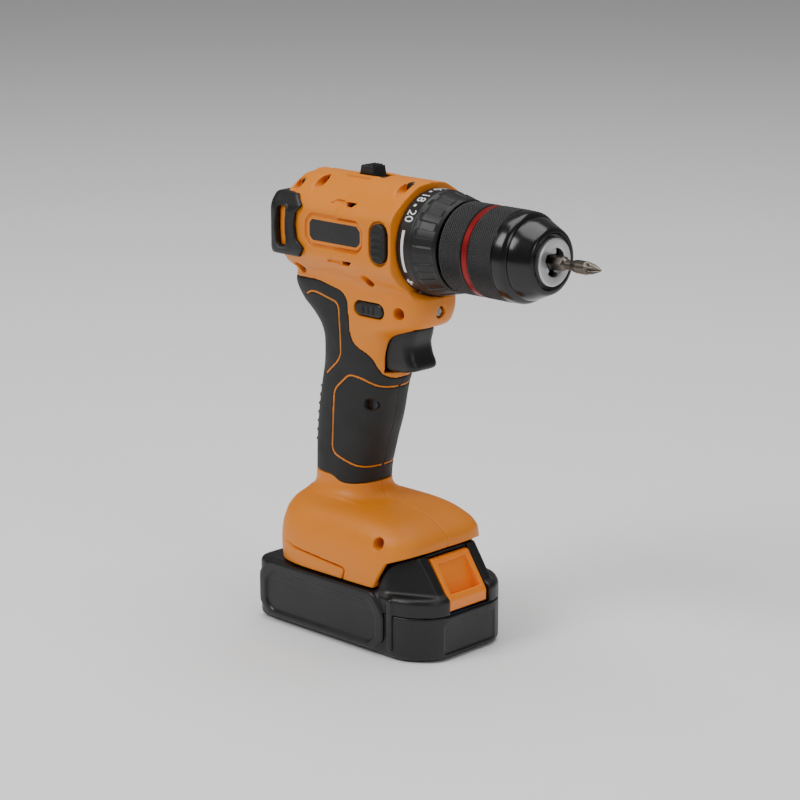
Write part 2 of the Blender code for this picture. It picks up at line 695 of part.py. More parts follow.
def housing(f, line):
    """Both shells, the rubber on them, the rear cover, the pads and the label plates."""
    grip_form = loft("grip_form", grip_rings(-SKIN_RECESS), f.yellow)
    foot_form = loft("foot_form", foot_rings(0.0, 0.0), f.yellow)
    boss_guide, hole_cutter = screw_tools(f.yellow)
    ribs = rib_guide(f.yellow, line)

    barrel_room = loft(
        "barrel_room",
        barrel_rings(-SHELL_WALL, BARREL_REAR_X + SHELL_WALL, BARREL_FRONT_X + 5 * MM),
        f.yellow,
    )
    grip_room = loft("grip_room", grip_rings(-SKIN_RECESS - SHELL_WALL), f.yellow)
    foot_room = loft("foot_room", foot_rings(SHELL_WALL, SHELL_WALL)[:-1] + [foot_floor()], f.yellow)
    for room in (barrel_room, grip_room, foot_room):
        combine(room, boss_guide, "DIFFERENCE", "MANIFOLD")
    combine(barrel_room, ribs, "DIFFERENCE", "MANIFOLD")

    bearing_pocket = turned(
        "bearing_pocket",
        tube_profile(BARREL_REAR_X + SHELL_WALL, BARREL_REAR_X + 15 * MM, 0, BEARING_RADIUS + GAP),
        20,
        f.yellow,
        parent=line,
    )
    collar_room = turned(
        "collar_room",
        tube_profile(BARREL_FRONT_X, BARREL_FRONT_X + 40 * MM, 0, COLLAR_RADIUS + RUN),
        36,
        f.yellow,
        parent=line,
    )
    notch = [
        (23.5 * MM, DECK_Z - 8 * MM),
        (23.5 * MM, DECK_Z + 0.3 * MM),
        (31.2 * MM, DECK_Z + 13.6 * MM),
        (42.5 * MM, DECK_Z + 17.6 * MM),
        (60 * MM, DECK_Z + 17.6 * MM),
        (60 * MM, DECK_Z - 8 * MM),
    ]
    notch_cutter = prism("foot_notch_cutter", notch, "Y", -50 * MM, 50 * MM, f.yellow)
    trigger_slot = box(
        "trigger_slot_cutter",
        (SWITCH_FRONT_X - 1 * MM, -TRIGGER_HALF - RUN, GUARD_Z + 1.2 * MM),
        (60 * MM, TRIGGER_HALF + RUN, GUARD_Z + 22.2 * MM),
        f.yellow,
    )
    selector_z = SPINDLE_Z - SELECTOR_DROP
    selector_slot = prism(
        "direction_slot_cutter",
        shifted(stadium(SELECTOR_LENGTH + 2 * RUN, SELECTOR_HEIGHT + 2 * RUN), SELECTOR_X, selector_z),
        "Y",
        -40 * MM,
        40 * MM,
        f.yellow,
    )
    speed_slot = box(
        "speed_slot_cutter",
        (SPEED_X - RUN, -SPEED_HALF - RUN, SPINDLE_Z + CASE_OUTER + 1 * MM),
        (SPEED_X + SPEED_LENGTH + SHIFT_TRAVEL + RUN, SPEED_HALF + RUN, SPINDLE_Z + 60 * MM),
        f.yellow,
    )
    led_hole = turned(
        "lamp_hole_cutter",
        tube_profile(28 * MM, 45 * MM, 0, LAMP_RADIUS + GAP),
        12,
        f.yellow,
        (0, 0, SPINDLE_Z - LAMP_DROP),
    )
    label_recess = box(
        "label_recess_cutter",
        (-26.5 * MM, BARREL_HALF - 1.5 * MM, -5.5 * MM),
        (12.0 * MM, BARREL_HALF + 5 * MM, 9.5 * MM),
        f.yellow,
        parent=line,
    )
    label_recess_right = box(
        "label_recess_cutter_right",
        (-26.5 * MM, -BARREL_HALF - 5 * MM, -5.5 * MM),
        (12.0 * MM, -BARREL_HALF + 1.5 * MM, 9.5 * MM),
        f.yellow,
        parent=line,
    )
    vents = vent_cutter(f, line)
    lips = [
        box(
            f"rail_lip_{side}",
            (-33 * MM, low, DECK_Z + 1.0 * MM),
            (20 * MM, high, DECK_Z + 3.4 * MM),
            f.yellow,
        )
        for side, low, high in (("right", -31.8 * MM, -23 * MM), ("left", 23 * MM, 31.8 * MM))
    ]
    tools = {
        "joins": [grip_form, foot_form],
        "cuts": [
            barrel_room,
            grip_room,
            foot_room,
            collar_room,
            bearing_pocket,
            notch_cutter,
            trigger_slot,
            selector_slot,
            speed_slot,
            led_hole,
            label_recess,
            label_recess_right,
            vents,
            hole_cutter,
        ],
        "lips": lips,
        "not_left": box("right_block", (-90 * MM, -60 * MM, 0), (90 * MM, GAP / 2, 300 * MM), f.yellow),
        "not_right": box("left_block", (-90 * MM, -GAP / 2, 0), (90 * MM, 60 * MM, 300 * MM), f.yellow),
    }
    shell_side("right_shell", tools, f.yellow, left=False)
    shell_side("left_shell", tools, f.yellow, left=True)
    rubber(f)
    rear_cover(f, line)
    side_trim(f, line)


def foot_floor():
    """The foot's hollow at its open underside."""
    share, rear, front, half = FOOT_STATIONS[-1]
    return [
        Vector((x, y, DECK_Z - 5 * MM))
        for x, y in oval(
            rear * MM + SHELL_WALL, front * MM - SHELL_WALL, half * MM - SHELL_WALL, 4.6
        )
    ]


def vent_cutter(f, line):
    """Cooling slots above and below the label on both sides."""
    bm = bmesh.new()
    for side in (-1, 1):
        for z in (13.6 * MM, -9.6 * MM):
            for step in range(2):
                x0 = -21.6 * MM + step * 7 * MM
                y0, y1 = sorted((side * 15 * MM, side * 40 * MM))
                ring = [(x0, y0), (x0 + 5 * MM, y0), (x0 + 5 * MM, y1), (x0, y1)]
                add_loft(bm, [[Vector((x, y, z + dz)) for x, y in ring] for dz in (-0.7 * MM, 0.7 * MM)])
    return add_object("vent_cutter", bm, f.yellow, parent=line)


def rubber(f):
    """The overmoulded rubber of each half: a skin on the grip inside its outline."""
    outer = grip_rings(0.0)
    hollow = loft("rubber_hollow", grip_rings(GAP - SKIN_RECESS), f.rubber)
    region = grip_region(f.rubber)
    screw_window = turned(
        "grip_screw_window",
        tube_profile(-40 * MM, 40 * MM, 0, SCREW_HEAD + 0.6 * MM),
        12,
        f.rubber,
        (GRIP_SCREW_X, 0, GRIP_SCREW_Z),
    )
    screw_window.rotation_euler = (0, 0, math.radians(90))
    blocks = {
        "right": box("rubber_left_block", (-90 * MM, -GAP / 2, 0), (90 * MM, 60 * MM, 300 * MM), f.rubber),
        "left": box("rubber_right_block", (-90 * MM, -60 * MM, 0), (90 * MM, GAP / 2, 300 * MM), f.rubber),
    }
    for side in ("right", "left"):
        skin = loft(f"{side}_grip_rubber", outer, f.rubber)
        combine(skin, hollow)
        combine(skin, region, "INTERSECT")
        combine(skin, screw_window)
        combine(skin, blocks[side])


def rear_cover(f, line):
    """The black band around the barrel's rear, with a curved slot on each side."""
    cover = loft("rear_cover", barrel_rings(2.3 * MM, BARREL_REAR_X - 2.5 * MM), f.black)
    inside = loft(
        "rear_cover_hollow", barrel_rings(GAP, BARREL_REAR_X - GAP, BARREL_FRONT_X + 5 * MM), f.black
    )
    outline = [
        (-60 * MM, 16 * MM),
        (-45 * MM, 18.0 * MM),
        (-35 * MM, 17.5 * MM),
        (-28.5 * MM, 12.5 * MM),
        (-32 * MM, 9.5 * MM),
        (-33 * MM, 3.5 * MM),
        (-32 * MM, -3.5 * MM),
        (-27.0 * MM, -8.0 * MM),
        (-30 * MM, -12.5 * MM),
        (-60 * MM, -12.5 * MM),
    ]
    region = prism("rear_cover_region", outline, "Y", -40 * MM, 40 * MM, f.black, parent=line)
    slot = [(-42 * MM, 10 * MM), (-37.5 * MM, 10 * MM), (-38.5 * MM, 2 * MM), (-37.5 * MM, -6 * MM)]
    slot += [(-42 * MM, -6 * MM), (-43 * MM, 2 * MM)]
    slot_cutter = prism("rear_cover_slot", slot, "Y", -40 * MM, 40 * MM, f.black, parent=line)
    combine(cover, inside)
    combine(cover, region, "INTERSECT")
    combine(cover, slot_cutter)


def side_trim(f, line):
    """The bumper pad and the label plate on each side of the barrel."""
    for side, name in ((-1, "right"), (1, "left")):
        face = side * (BARREL_HALF + GAP)
        outline = [(0, -8.5 * MM), (1.0 * MM, -8.5 * MM)]
        for i in range(3):
            low = -8.5 * MM + i * 6.33 * MM
            outline += [(2.0 * MM, low + 1.2 * MM), (2.0 * MM, low + 5.1 * MM), (1.0 * MM, low + 6.33 * MM)]
        outline += [(0, 10.5 * MM)]
        prism(
            f"{name}_side_bumper",
            [(face + side * out, z) for out, z in outline],
            "X",
            18.5 * MM,
            29.0 * MM,
            f.rubber,
            parent=line,
        )
        corner = 3.5 * MM
        x0, x1, z0, z1 = -25 * MM, 10.5 * MM, -4 * MM, 7.5 * MM
        chamfered = [
            (x0 + corner, z0),
            (x1 - corner, z0),
            (x1, z0 + corner),
            (x1, z1 - corner),
            (x1 - corner, z1),
            (x0 + corner, z1),
            (x0, z1 - corner),
            (x0, z0 + corner),
        ]
        floor = BARREL_HALF - 1.5 * MM + GAP
        y0, y1 = sorted((side * floor, side * (floor + 1.2 * MM)))
        prism(f"{name}_label_plate", chamfered, "Y", y0, y1, f.black, parent=line)


def motor(f, line):
    """Brushless motor: stator, bearings, rotor, fan and the first sun gear."""
    stator_x = -34.4 * MM
    turned(
        "stator",
        tube_profile(stator_x, stator_x + STATOR_LENGTH, ROTOR_RADIUS + ROTOR_AIR, STATOR_RADIUS),
        28,
        f.copper,
        parent=line,
    )
    bearing_x = BARREL_REAR_X + SHELL_WALL + GAP
    turned(
        "rear_motor_bearing",
        tube_profile(bearing_x, bearing_x + BEARING_WIDTH, SHAFT_RADIUS + GAP, BEARING_RADIUS),
        20,
        f.steel,
        parent=line,
    )
    plate_x = stator_x + STATOR_LENGTH + 1.5 * MM
    plate_end = CASE_REAR_X - GAP
    turned(
        "motor_mount_plate",
        [
            (plate_x, BEARING_RADIUS - 1.4 * MM),
            (plate_x, STATOR_RADIUS),
            (plate_x + 2 * MM, STATOR_RADIUS),
            (plate_x + 2 * MM, CASE_OUTER - 1 * MM),
            (plate_end, CASE_OUTER - 1 * MM),
            (plate_end, BEARING_RADIUS - 1.4 * MM),
        ],
        28,
        f.zinc,
        parent=line,
    )
    turned(
        "front_motor_bearing",
        tube_profile(plate_x, plate_x + 4 * MM, SHAFT_RADIUS + GAP, BEARING_RADIUS - 1.4 * MM - GAP),
        20,
        f.steel,
        parent=line,
    )
    turned(
        "rotor_core",
        [
            (bearing_x, 0),
            (bearing_x, SHAFT_RADIUS),
            (stator_x, SHAFT_RADIUS),
            (stator_x, ROTOR_RADIUS),
            (stator_x + STATOR_LENGTH, ROTOR_RADIUS),
            (stator_x + STATOR_LENGTH, SHAFT_RADIUS),
            (PINION_X + PLANET_WIDTH, SHAFT_RADIUS),
            (PINION_X + PLANET_WIDTH, 0),
        ],
        20,
        f.magnet,
        parent=line,
    )
    fan_x = bearing_x + BEARING_WIDTH + 0.7 * MM
    hub = SHAFT_RADIUS + GAP + 2.2 * MM
    fan = turned(
        "cooling_fan",
        [
            (fan_x, SHAFT_RADIUS + GAP),
            (fan_x, hub),
            (fan_x + FAN_DEPTH - 1.2 * MM, hub),
            (fan_x + FAN_DEPTH - 1.2 * MM, FAN_RADIUS),
            (fan_x + FAN_DEPTH, FAN_RADIUS),
            (fan_x + FAN_DEPTH, SHAFT_RADIUS + GAP),
        ],
        24,
        f.black,
        parent=line,
    )
    blades = bmesh.new()
    for i in range(FAN_BLADES):
        angle = 2 * math.pi * i / FAN_BLADES
        across = Vector((0, -math.sin(angle), math.cos(angle))) * 0.5 * MM
        outward = Vector((0, math.cos(angle), math.sin(angle)))
        near, far = outward * (hub - 0.4 * MM), outward * (FAN_RADIUS - 0.5 * MM)
        x0, x1 = Vector((fan_x + 0.6 * MM, 0, 0)), Vector((fan_x + FAN_DEPTH - 0.6 * MM, 0, 0))
        add_loft(
            blades,
            [[x + near - across, x + near + across, x + far + across, x + far - across] for x in (x0, x1)],
        )
    blade_set = add_object("fan_blades", blades, f.black, parent=line)
    combine(fan, blade_set, "UNION")
    sun_gear("sun_pinion", PINION_X, SHAFT_RADIUS + GAP, f, line)


def sun_gear(name, x, bore, f, line):
    """A sun gear as wide as its planets, with a tooth pointing at each planet."""
    plate(
        name,
        gear_outline(SUN_TEETH, SUN_PITCH - DEDENDUM, SUN_PITCH + ADDENDUM, math.pi / 2),
        [circle(bore, 12)],
        x,
        x + PLANET_WIDTH,
        f.gear_steel,
        parent=line,
    )


def ring_gear(name, x, f, line):
    """An internal gear, with a tooth pointing at each planet."""
    inner = gear_outline(RING_TEETH, RING_PITCH + DEDENDUM, RING_PITCH - ADDENDUM, math.pi / 2)
    plate(name, circle(RING_OUTER, 28), [inner], x, x + RING_WIDTH, f.gear_steel, parent=line)


def planet_set(prefix, x, f, line):
    """Three planets with a gap facing the sun and the ring."""
    start = math.pi / 2 + math.pi / PLANET_TEETH
    outline = gear_outline(PLANET_TEETH, PLANET_PITCH - DEDENDUM, PLANET_PITCH + ADDENDUM, start)
    hole = circle(PIN_RADIUS + GAP, 8)
    first = None
    for i, (y, z) in enumerate(spin_offsets(PLANET_ORBIT, PLANETS)):
        name = f"{prefix}_planet_{i + 1}"
        if first is None:
            first = plate(name, outline, [hole], 0, PLANET_WIDTH - GAP, f.gear_steel, (x, y, z), line)
        else:
            copy_object(first, name, (x, y, z), (2 * math.pi * i / PLANETS, 0, 0))


def pin_tool(name, x0, x1, f, line):
    """The pins that a carrier holds its planets on."""
    bm = bmesh.new()
    for y, z in spin_offsets(PLANET_ORBIT, PLANETS):
        rings = [[at("X", u, v, x) for u, v in circle(PIN_RADIUS, 8, (y, z))] for x in (x0, x1)]
        add_loft(bm, rings)
    return add_object(name, bm, f.steel, parent=line)


def gearbox(f, line):
    """Case, ring gears, carriers, planets, the second sun and the output spindle."""
    nose_front = NOSE_FRONT_X
    case = turned(
        "gearbox_case",
        [
            (CASE_REAR_X, CASE_INNER),
            (CASE_REAR_X, CASE_OUTER),
            (CASE_FRONT_X + CASE_FRONT_WALL, CASE_OUTER),
            (CASE_FRONT_X + CASE_FRONT_WALL, NOSE_RADIUS),
            (nose_front, NOSE_RADIUS),
            (nose_front, NOSE_INNER),
            (CASE_FRONT_X, NOSE_INNER),
            (CASE_FRONT_X, CASE_INNER),
        ],
        28,
        f.zinc,
        parent=line,
    )
    fork_x = RING_2_X + RING_WIDTH / 2
    slot = box(
        "fork_slot_cutter",
        (fork_x - 1.8 * MM, -2.0 * MM, CASE_INNER - 3 * MM),
        (fork_x + 1.8 * MM + SHIFT_TRAVEL, 2.0 * MM, CASE_OUTER + 3 * MM),
        f.zinc,
        parent=line,
    )
    combine(case, slot)
    ring_gear("first_ring_gear", RING_1_X, f, line)
    ring_gear("shifting_ring_gear", RING_2_X, f, line)

    carrier = turned(
        "first_carrier",
        [
            (CARRIER_1_X, 0),
            (CARRIER_1_X, CARRIER_RADIUS),
            (CARRIER_1_X + CARRIER_PLATE, CARRIER_RADIUS),
            (CARRIER_1_X + CARRIER_PLATE, 0),
        ],
        24,
        f.steel,
        parent=line,
    )
    pins = pin_tool("first_pins", RING_1_X + 0.5 * MM, CARRIER_1_X + 1 * MM, f, line)
    combine(carrier, pins, "UNION")
    planet_set("first", RING_1_X + 0.6 * MM, f, line)
    sun_gear("second_sun", SUN_2_X, 1.5 * MM, f, line)

    shaft_end = CHUCK_X + 15 * MM
    spindle = turned(
        "output_spindle",
        [
            (CARRIER_2_X, 0),
            (CARRIER_2_X, CARRIER_RADIUS),
            (CARRIER_2_X + CARRIER_PLATE, CARRIER_RADIUS),
            (CARRIER_2_X + CARRIER_PLATE, SPINDLE_RADIUS),
            (shaft_end, SPINDLE_RADIUS),
            (shaft_end, 0),
        ],
        24,
        f.steel,
        parent=line,
    )
    pins = pin_tool("second_pins", SUN_2_X + 0.4 * MM, CARRIER_2_X + 1 * MM, f, line)
    combine(spindle, pins, "UNION")
    planet_set("second", SUN_2_X + 0.4 * MM, f, line)
    turned(
        "spindle_bearing",
        tube_profile(
            nose_front - 9 * MM,
            nose_front - 1.5 * MM,
            SPINDLE_RADIUS + GAP,
            SPINDLE_RADIUS + GAP + SPINDLE_BEARING_WALL,
        ),
        24,
        f.steel,
        parent=line,
    )


def clutch(f, line):
    """The clutch spring, the nut that loads it and the numbered collar that turns the nut."""
    spring_x = CASE_FRONT_X + CASE_FRONT_WALL + GAP
    spring_length = 9.0 * MM
    coil(
        "clutch_spring",
        NOSE_RADIUS + RUN + CLUTCH_SPRING_WIRE / 2 + 0.3 * MM,
        CLUTCH_SPRING_WIRE,
        3,
        spring_length,
        "X",
        f.steel,
        (spring_x, 0, 0),
        line,
        16,
    )
    nut_x = spring_x + spring_length + 1.8 * MM
    turned(
        "clutch_nut",
        tube_profile(nut_x, nut_x + 4.5 * MM, NOSE_RADIUS + RUN, NUT_OUTER),
        28,
        f.steel,
        parent=line,
    )
    lip = 4.0 * MM
    turned(
        "torque_collar",
        [
            (COLLAR_X, COLLAR_INNER),
            (COLLAR_X, COLLAR_RADIUS - 0.6 * MM),
            (COLLAR_X + 0.6 * MM, COLLAR_RADIUS),
            (COLLAR_FRONT_X - 1.4 * MM, COLLAR_RADIUS),
            (COLLAR_FRONT_X, COLLAR_RADIUS - 1.6 * MM),
            (COLLAR_FRONT_X, NOSE_RADIUS + RUN),
            (COLLAR_FRONT_X - lip, NOSE_RADIUS + RUN),
            (COLLAR_FRONT_X - lip, COLLAR_INNER),
        ],
        30,
        f.black,
        parent=line,
    )


def jaw_axis_radius(x):
    """How far a jaw's axis is from the spindle's axis at a station."""
    return JAW_TIP_RADIUS + (CHUCK_NOSE_X - 1.2 * MM - x) * math.tan(JAW_ANGLE)


def add_jaw(bm, radius, rear_extra, front_extra):
    """A jaw's cylinder on top of the axis, leaning outward towards the rear."""
    along = Vector((math.cos(JAW_ANGLE), 0, -math.sin(JAW_ANGLE)))
    front = Vector((CHUCK_NOSE_X - 1.2 * MM, 0, JAW_TIP_RADIUS))
    side, up = Vector((0, 1, 0)), along.cross(Vector((0, 1, 0)))
    rings = []
    for centre in (front - along * (JAW_LENGTH + rear_extra), front + along * front_extra):
        rings.append([centre + side * u + up * v for u, v in circle(radius, 12)])
    add_loft(bm, rings)


def chuck(f, line):
    """Chuck body, sleeve, grip ring, nut, jaws and the bit they hold."""
    body_rear = CHUCK_X + 0.5 * MM
    shaft_end = CHUCK_X + 15 * MM
    taper_x = CHUCK_X + 29 * MM
    nose_x = CHUCK_NOSE_X + 1.3 * MM
    body = turned(
        "chuck_body",
        [
            (body_rear, SPINDLE_RADIUS + GAP),
            (body_rear, CHUCK_BODY_RADIUS),
            (taper_x, CHUCK_BODY_RADIUS),
            (CHUCK_NOSE_X - 7 * MM, CHUCK_NOSE_RADIUS),
            (nose_x - 0.5 * MM, CHUCK_NOSE_RADIUS),
            (nose_x, CHUCK_NOSE_RADIUS - 0.5 * MM),
            (nose_x, CHUCK_BORE + 0.8 * MM),
            (nose_x - 0.8 * MM, CHUCK_BORE),
            (shaft_end + 3 * MM, CHUCK_BORE),
            (shaft_end + 3 * MM, 3 * MM),
            (shaft_end + GAP, 3 * MM),
            (shaft_end + GAP, SPINDLE_RADIUS + GAP),
        ],
        24,
        f.steel,
        parent=line,
    )
    for i in range(JAWS):
        cutter = bmesh.new()
        add_jaw(cutter, JAW_RADIUS + RUN, 12 * MM, 0.8 * MM)
        tool = add_object(f"jaw_channel_{i + 1}", cutter, f.steel, parent=line)
        tool.rotation_euler = (2 * math.pi * i / JAWS, 0, 0)
        combine(body, tool)

    groove = 1.9 * MM
    red_front = RED_RING_X + RED_RING_WIDTH
    step_x = COLLAR_X + 65.5 * MM
    turned(
        "chuck_sleeve",
        [
            (CHUCK_X, CHUCK_BODY_RADIUS + RUN),
            (CHUCK_X, SLEEVE_RADIUS - 0.6 * MM),
            (CHUCK_X + 0.6 * MM, SLEEVE_RADIUS),
            (RED_RING_X - GAP, SLEEVE_RADIUS),
            (RED_RING_X - GAP, SLEEVE_RADIUS - groove),
            (red_front + GAP, SLEEVE_RADIUS - groove),
            (red_front + GAP, SLEEVE_RADIUS),
            (COLLAR_X + 61.0 * MM, SLEEVE_RADIUS - 0.3 * MM),
            (step_x, SLEEVE_RADIUS - 2.7 * MM),
            (CHUCK_NOSE_X, CHUCK_NOSE_RADIUS + 4.1 * MM),
            (CHUCK_NOSE_X, CHUCK_NOSE_RADIUS + RUN),
            (CHUCK_NOSE_X - 6.5 * MM, CHUCK_NOSE_RADIUS + RUN),
            (CHUCK_NOSE_X - 14 * MM, SLEEVE_BORE),
            (CHUCK_X + 2.4 * MM, SLEEVE_BORE),
            (CHUCK_X + 2.4 * MM, CHUCK_BODY_RADIUS + RUN),
        ],
        28,
        f.black_steel,
        parent=line,
    )
    turned(
        "red_grip_ring",
        tube_profile(RED_RING_X, red_front, SLEEVE_RADIUS - groove + GAP, SLEEVE_RADIUS - 0.1 * MM),
        28,
        f.red,
        parent=line,
    )
    nut_rear, nut_front = CHUCK_X + 22.5 * MM, CHUCK_X + 28.5 * MM
    lean = (JAW_RADIUS + NUT_THREAD_GAP) / math.cos(JAW_ANGLE)
    turned(
        "jaw_nut",
        [
            (nut_rear, jaw_axis_radius(nut_rear) + lean),
            (nut_rear, SLEEVE_BORE - GAP),
            (nut_front, SLEEVE_BORE - GAP),
            (nut_front, max(jaw_axis_radius(nut_front) + lean, CHUCK_BODY_RADIUS + RUN)),
        ],
        28,
        f.steel,
        parent=line,
    )
    make_jaws(f, line)
    driver_bit(f, line)


def make_jaws(f, line):
    """Three jaws with a flat gripping face, closed on the bit."""
    face = HEX_FLAT / 2 + GAP
    bm = bmesh.new()
    add_jaw(bm, JAW_RADIUS, 0, 3 * MM)
    trim(bm, (0, 0, face), (0, 0, -1))
    trim(bm, (CHUCK_NOSE_X - 0.6 * MM, 0, 0), (1, 0, 0))
    first = add_object("jaw_1", bm, f.steel, parent=line)
    for i in range(1, JAWS):
        copy_object(first, f"jaw_{i + 1}", (0, 0, 0), (2 * math.pi * i / JAWS, 0, 0))


def driver_bit(f, line):
    """A hexagonal bit with a flat facing each jaw, a neck and a tapered cross tip."""

    def hexagon(x):
        corner, middle = HEX_FLAT / 2 / math.cos(math.pi / 6), HEX_FLAT / 2
        ring = []
        for i in range(12):
            radius = middle if i % 2 == 0 else corner
            angle = math.pi / 2 + i * math.pi / 6
            ring.append(Vector((x, radius * math.cos(angle), radius * math.sin(angle))))
        return ring

    def disc(x, radius):
        return [Vector((x, u, v)) for u, v in circle(radius, 12, start=math.pi / 2)]

    tip = BIT_REAR_X + BIT_LENGTH
    shank_end = tip - 21.0 * MM
    rings = [
        disc(BIT_REAR_X, HEX_FLAT / 2 - 0.6 * MM),
        hexagon(BIT_REAR_X + 0.8 * MM),
        hexagon(shank_end),
        disc(shank_end + 1.2 * MM, 2.5 * MM),
        disc(shank_end + 4.4 * MM, 2.3 * MM),
        disc(shank_end + 7.5 * MM, 3.1 * MM),
        disc(shank_end + 13 * MM, 3.1 * MM),
        disc(tip - 1.0 * MM, 1.1 * MM),
        disc(tip, 0.5 * MM),
    ]
    loft("driver_bit", rings, f.steel, parent=line)


def controls(f, line):
    """Trigger, switch, direction selector, speed selector with its fork, and the lamp."""
    trigger = loft("trigger", trigger_rings(), f.black)
    stem_half, stem_low, stem_high = 3.5 * MM, GUARD_Z + 8 * MM, GUARD_Z + 15 * MM
    stem_x = SWITCH_FRONT_X - 2 * MM
    stem = box(
        "trigger_stem",
        (stem_x, -stem_half, stem_low),
        (TRIGGER_REAR_X + 2 * MM, stem_half, stem_high),
        f.black,
    )
    combine(trigger, stem, "UNION")
    switch = box(
        "switch_module",
        (-22 * MM, -9 * MM, GUARD_Z + 2 * MM),
        (SWITCH_FRONT_X, 9 * MM, GUARD_Z + 23 * MM),
        f.black,
    )
    well = box(
        "switch_well",
        (stem_x - TRIGGER_TRAVEL - 1 * MM, -stem_half - RUN, stem_low - RUN),
        (SWITCH_FRONT_X + 5 * MM, stem_half + RUN, stem_high + RUN),
        f.black,
    )
    combine(switch, well)
    reach = grip_half_at_selector() - SKIN_RECESS + SELECTOR_PROUD
    prism(
        "direction_selector",
        shifted(stadium(SELECTOR_LENGTH, SELECTOR_HEIGHT), SELECTOR_X, SPINDLE_Z - SELECTOR_DROP),
        "Y",
        -reach,
        reach,
        f.black,
    )
    top = GEAR_TOP + SPEED_PROUD
    low = CASE_OUTER + 0.9 * MM
    sheet = 1.0 * MM
    fork_x = RING_2_X + RING_WIDTH / 2
    rings = []
    for height, inset, half in (
        (low + sheet + GAP, 0.0, SPEED_HALF),
        (GEAR_TOP - 0.5 * MM, 0.0, SPEED_HALF),
        (GEAR_TOP - 0.1 * MM, SPEED_CAP_INSET, SPEED_CAP_HALF),
        (top - 1.2 * MM, SPEED_CAP_INSET + 0.3 * MM, SPEED_CAP_HALF - 0.2 * MM),
        (top, SPEED_CAP_INSET + 1.4 * MM, SPEED_CAP_HALF - 1.2 * MM),
    ):
        rear, front = SPEED_X + inset, SPEED_X + SPEED_LENGTH - inset
        corners = ((rear, -half), (front, -half), (front, half), (rear, half))
        rings.append([Vector((x, y, height)) for x, y in corners])
    loft("speed_selector", rings, f.black, parent=line)
    prism(
        "shift_fork",
        [
            (SPEED_X + 2 * MM, low),
            (fork_x - 1.3 * MM, low),
            (fork_x - 1.3 * MM, RING_OUTER + GAP),
            (fork_x + 1.3 * MM, RING_OUTER + GAP),
            (fork_x + 1.3 * MM, low + sheet),
            (SPEED_X + 2 * MM, low + sheet),
        ],
        "Y",
        -1.5 * MM,
        1.5 * MM,
        f.steel,
        parent=line,
    )
    turned(
        "lamp_lens",
        [
            (30 * MM, 0),
            (30 * MM, LAMP_RADIUS),
            (36.4 * MM, LAMP_RADIUS),
            (37.2 * MM, LAMP_RADIUS - 0.8 * MM),
            (37.2 * MM, 0),
        ],
        12,
        f.clear,
        (0, 0, SPINDLE_Z - LAMP_DROP),
    )


def grip_half_at_selector():
    """The grip's half-width where the direction selector passes through it."""
    above, below = HEAD_STATIONS[1], HEAD_STATIONS[2]
    share = (SELECTOR_DROP / MM - above[0]) / (below[0] - above[0])
    return (above[3] + share * (below[3] - above[3])) * MM


def electrics(f):
    """Control board, terminal block and the leads up the grip."""
    box(
        "control_board",
        (-30 * MM, -22 * MM, DECK_Z + 19.5 * MM),
        (16 * MM, 22 * MM, DECK_Z + 21.1 * MM),
        f.board,
    )
    block = box(
        "terminal_block",
        (-44.5 * MM, -15 * MM, DECK_Z + 4 * MM),
        (-38 * MM, 15 * MM, DECK_Z + 17 * MM),
        f.black,
    )
    blades = bmesh.new()
    for y in BLADE_OFFSETS:
        ring = [(-39 * MM, y - 0.5 * MM), (-30 * MM, y - 0.5 * MM)]
        ring += [(-30 * MM, y + 0.5 * MM), (-39 * MM, y + 0.5 * MM)]
        levels = (DECK_Z + 4.2 * MM, DECK_Z + 6.5 * MM)
        add_loft(blades, [[Vector((x, v, z)) for x, v in ring] for z in levels])
    combine(block, add_object("terminal_blades", blades, f.copper), "UNION")
    lead(
        "wire_harness",
        [
            (-24 * MM, 0, DECK_Z + 22.0 * MM),
            (-25.5 * MM, 0, FOOT_TOP_Z + 0.3 * GRIP_LENGTH),
            (-26.5 * MM, 0, GUARD_Z + 2.0 * MM),
            (-24.5 * MM, 0, GUARD_Z + 24 * MM),
            (-19.8 * MM, 0, SPINDLE_Z - STATOR_RADIUS - 10 * MM),
            (-19.8 * MM, 0, SPINDLE_Z - STATOR_RADIUS - 1.5 * MM),
        ],
        2.0 * MM,
        f.wire,
    )


def battery_outline(inset):
    """The battery in plan, with broad corners at the front."""
    half_length = BATTERY_LENGTH / 2
    return rounded_rectangle(
        -half_length + inset,
        half_length - inset,
        BATTERY_HALF - inset,
        9.5 * MM - inset,
        14 * MM - inset,
    )


def battery_hump(f):
    """The raised front of the battery under the nose of the foot, narrower at its top."""
    front = BATTERY_LENGTH / 2 - 1.7 * MM
    crest_x = 44.0 * MM
    levels = [
        (-3.0, 25.2 * MM, front, HUMP_HALF + 2 * MM),
        (0.0, 25.2 * MM, crest_x + 0.82 * (front - crest_x), HUMP_HALF),
        (13.0, 32.0 * MM, crest_x + 0.06 * (front - crest_x), HUMP_TOP_HALF + 1.5 * MM),
        (14.0, 34.8 * MM, crest_x, HUMP_TOP_HALF + 1 * MM),
        (16.6, 41.2 * MM, crest_x - 2.0 * MM, HUMP_TOP_HALF),
    ]
    rings = []
    for rise, rear, end, half in levels:
        corner = min(5 * MM, (end - rear) / 2)
        plan = [(rear, -half), (end - corner, -half), (end, corner - half)]
        plan += [(x, -y) for x, y in reversed(plan)]
        rings.append([Vector((x, y, BATTERY_DECK + rise * MM)) for x, y in plan])
    return loft("battery_hump", rings, f.black)


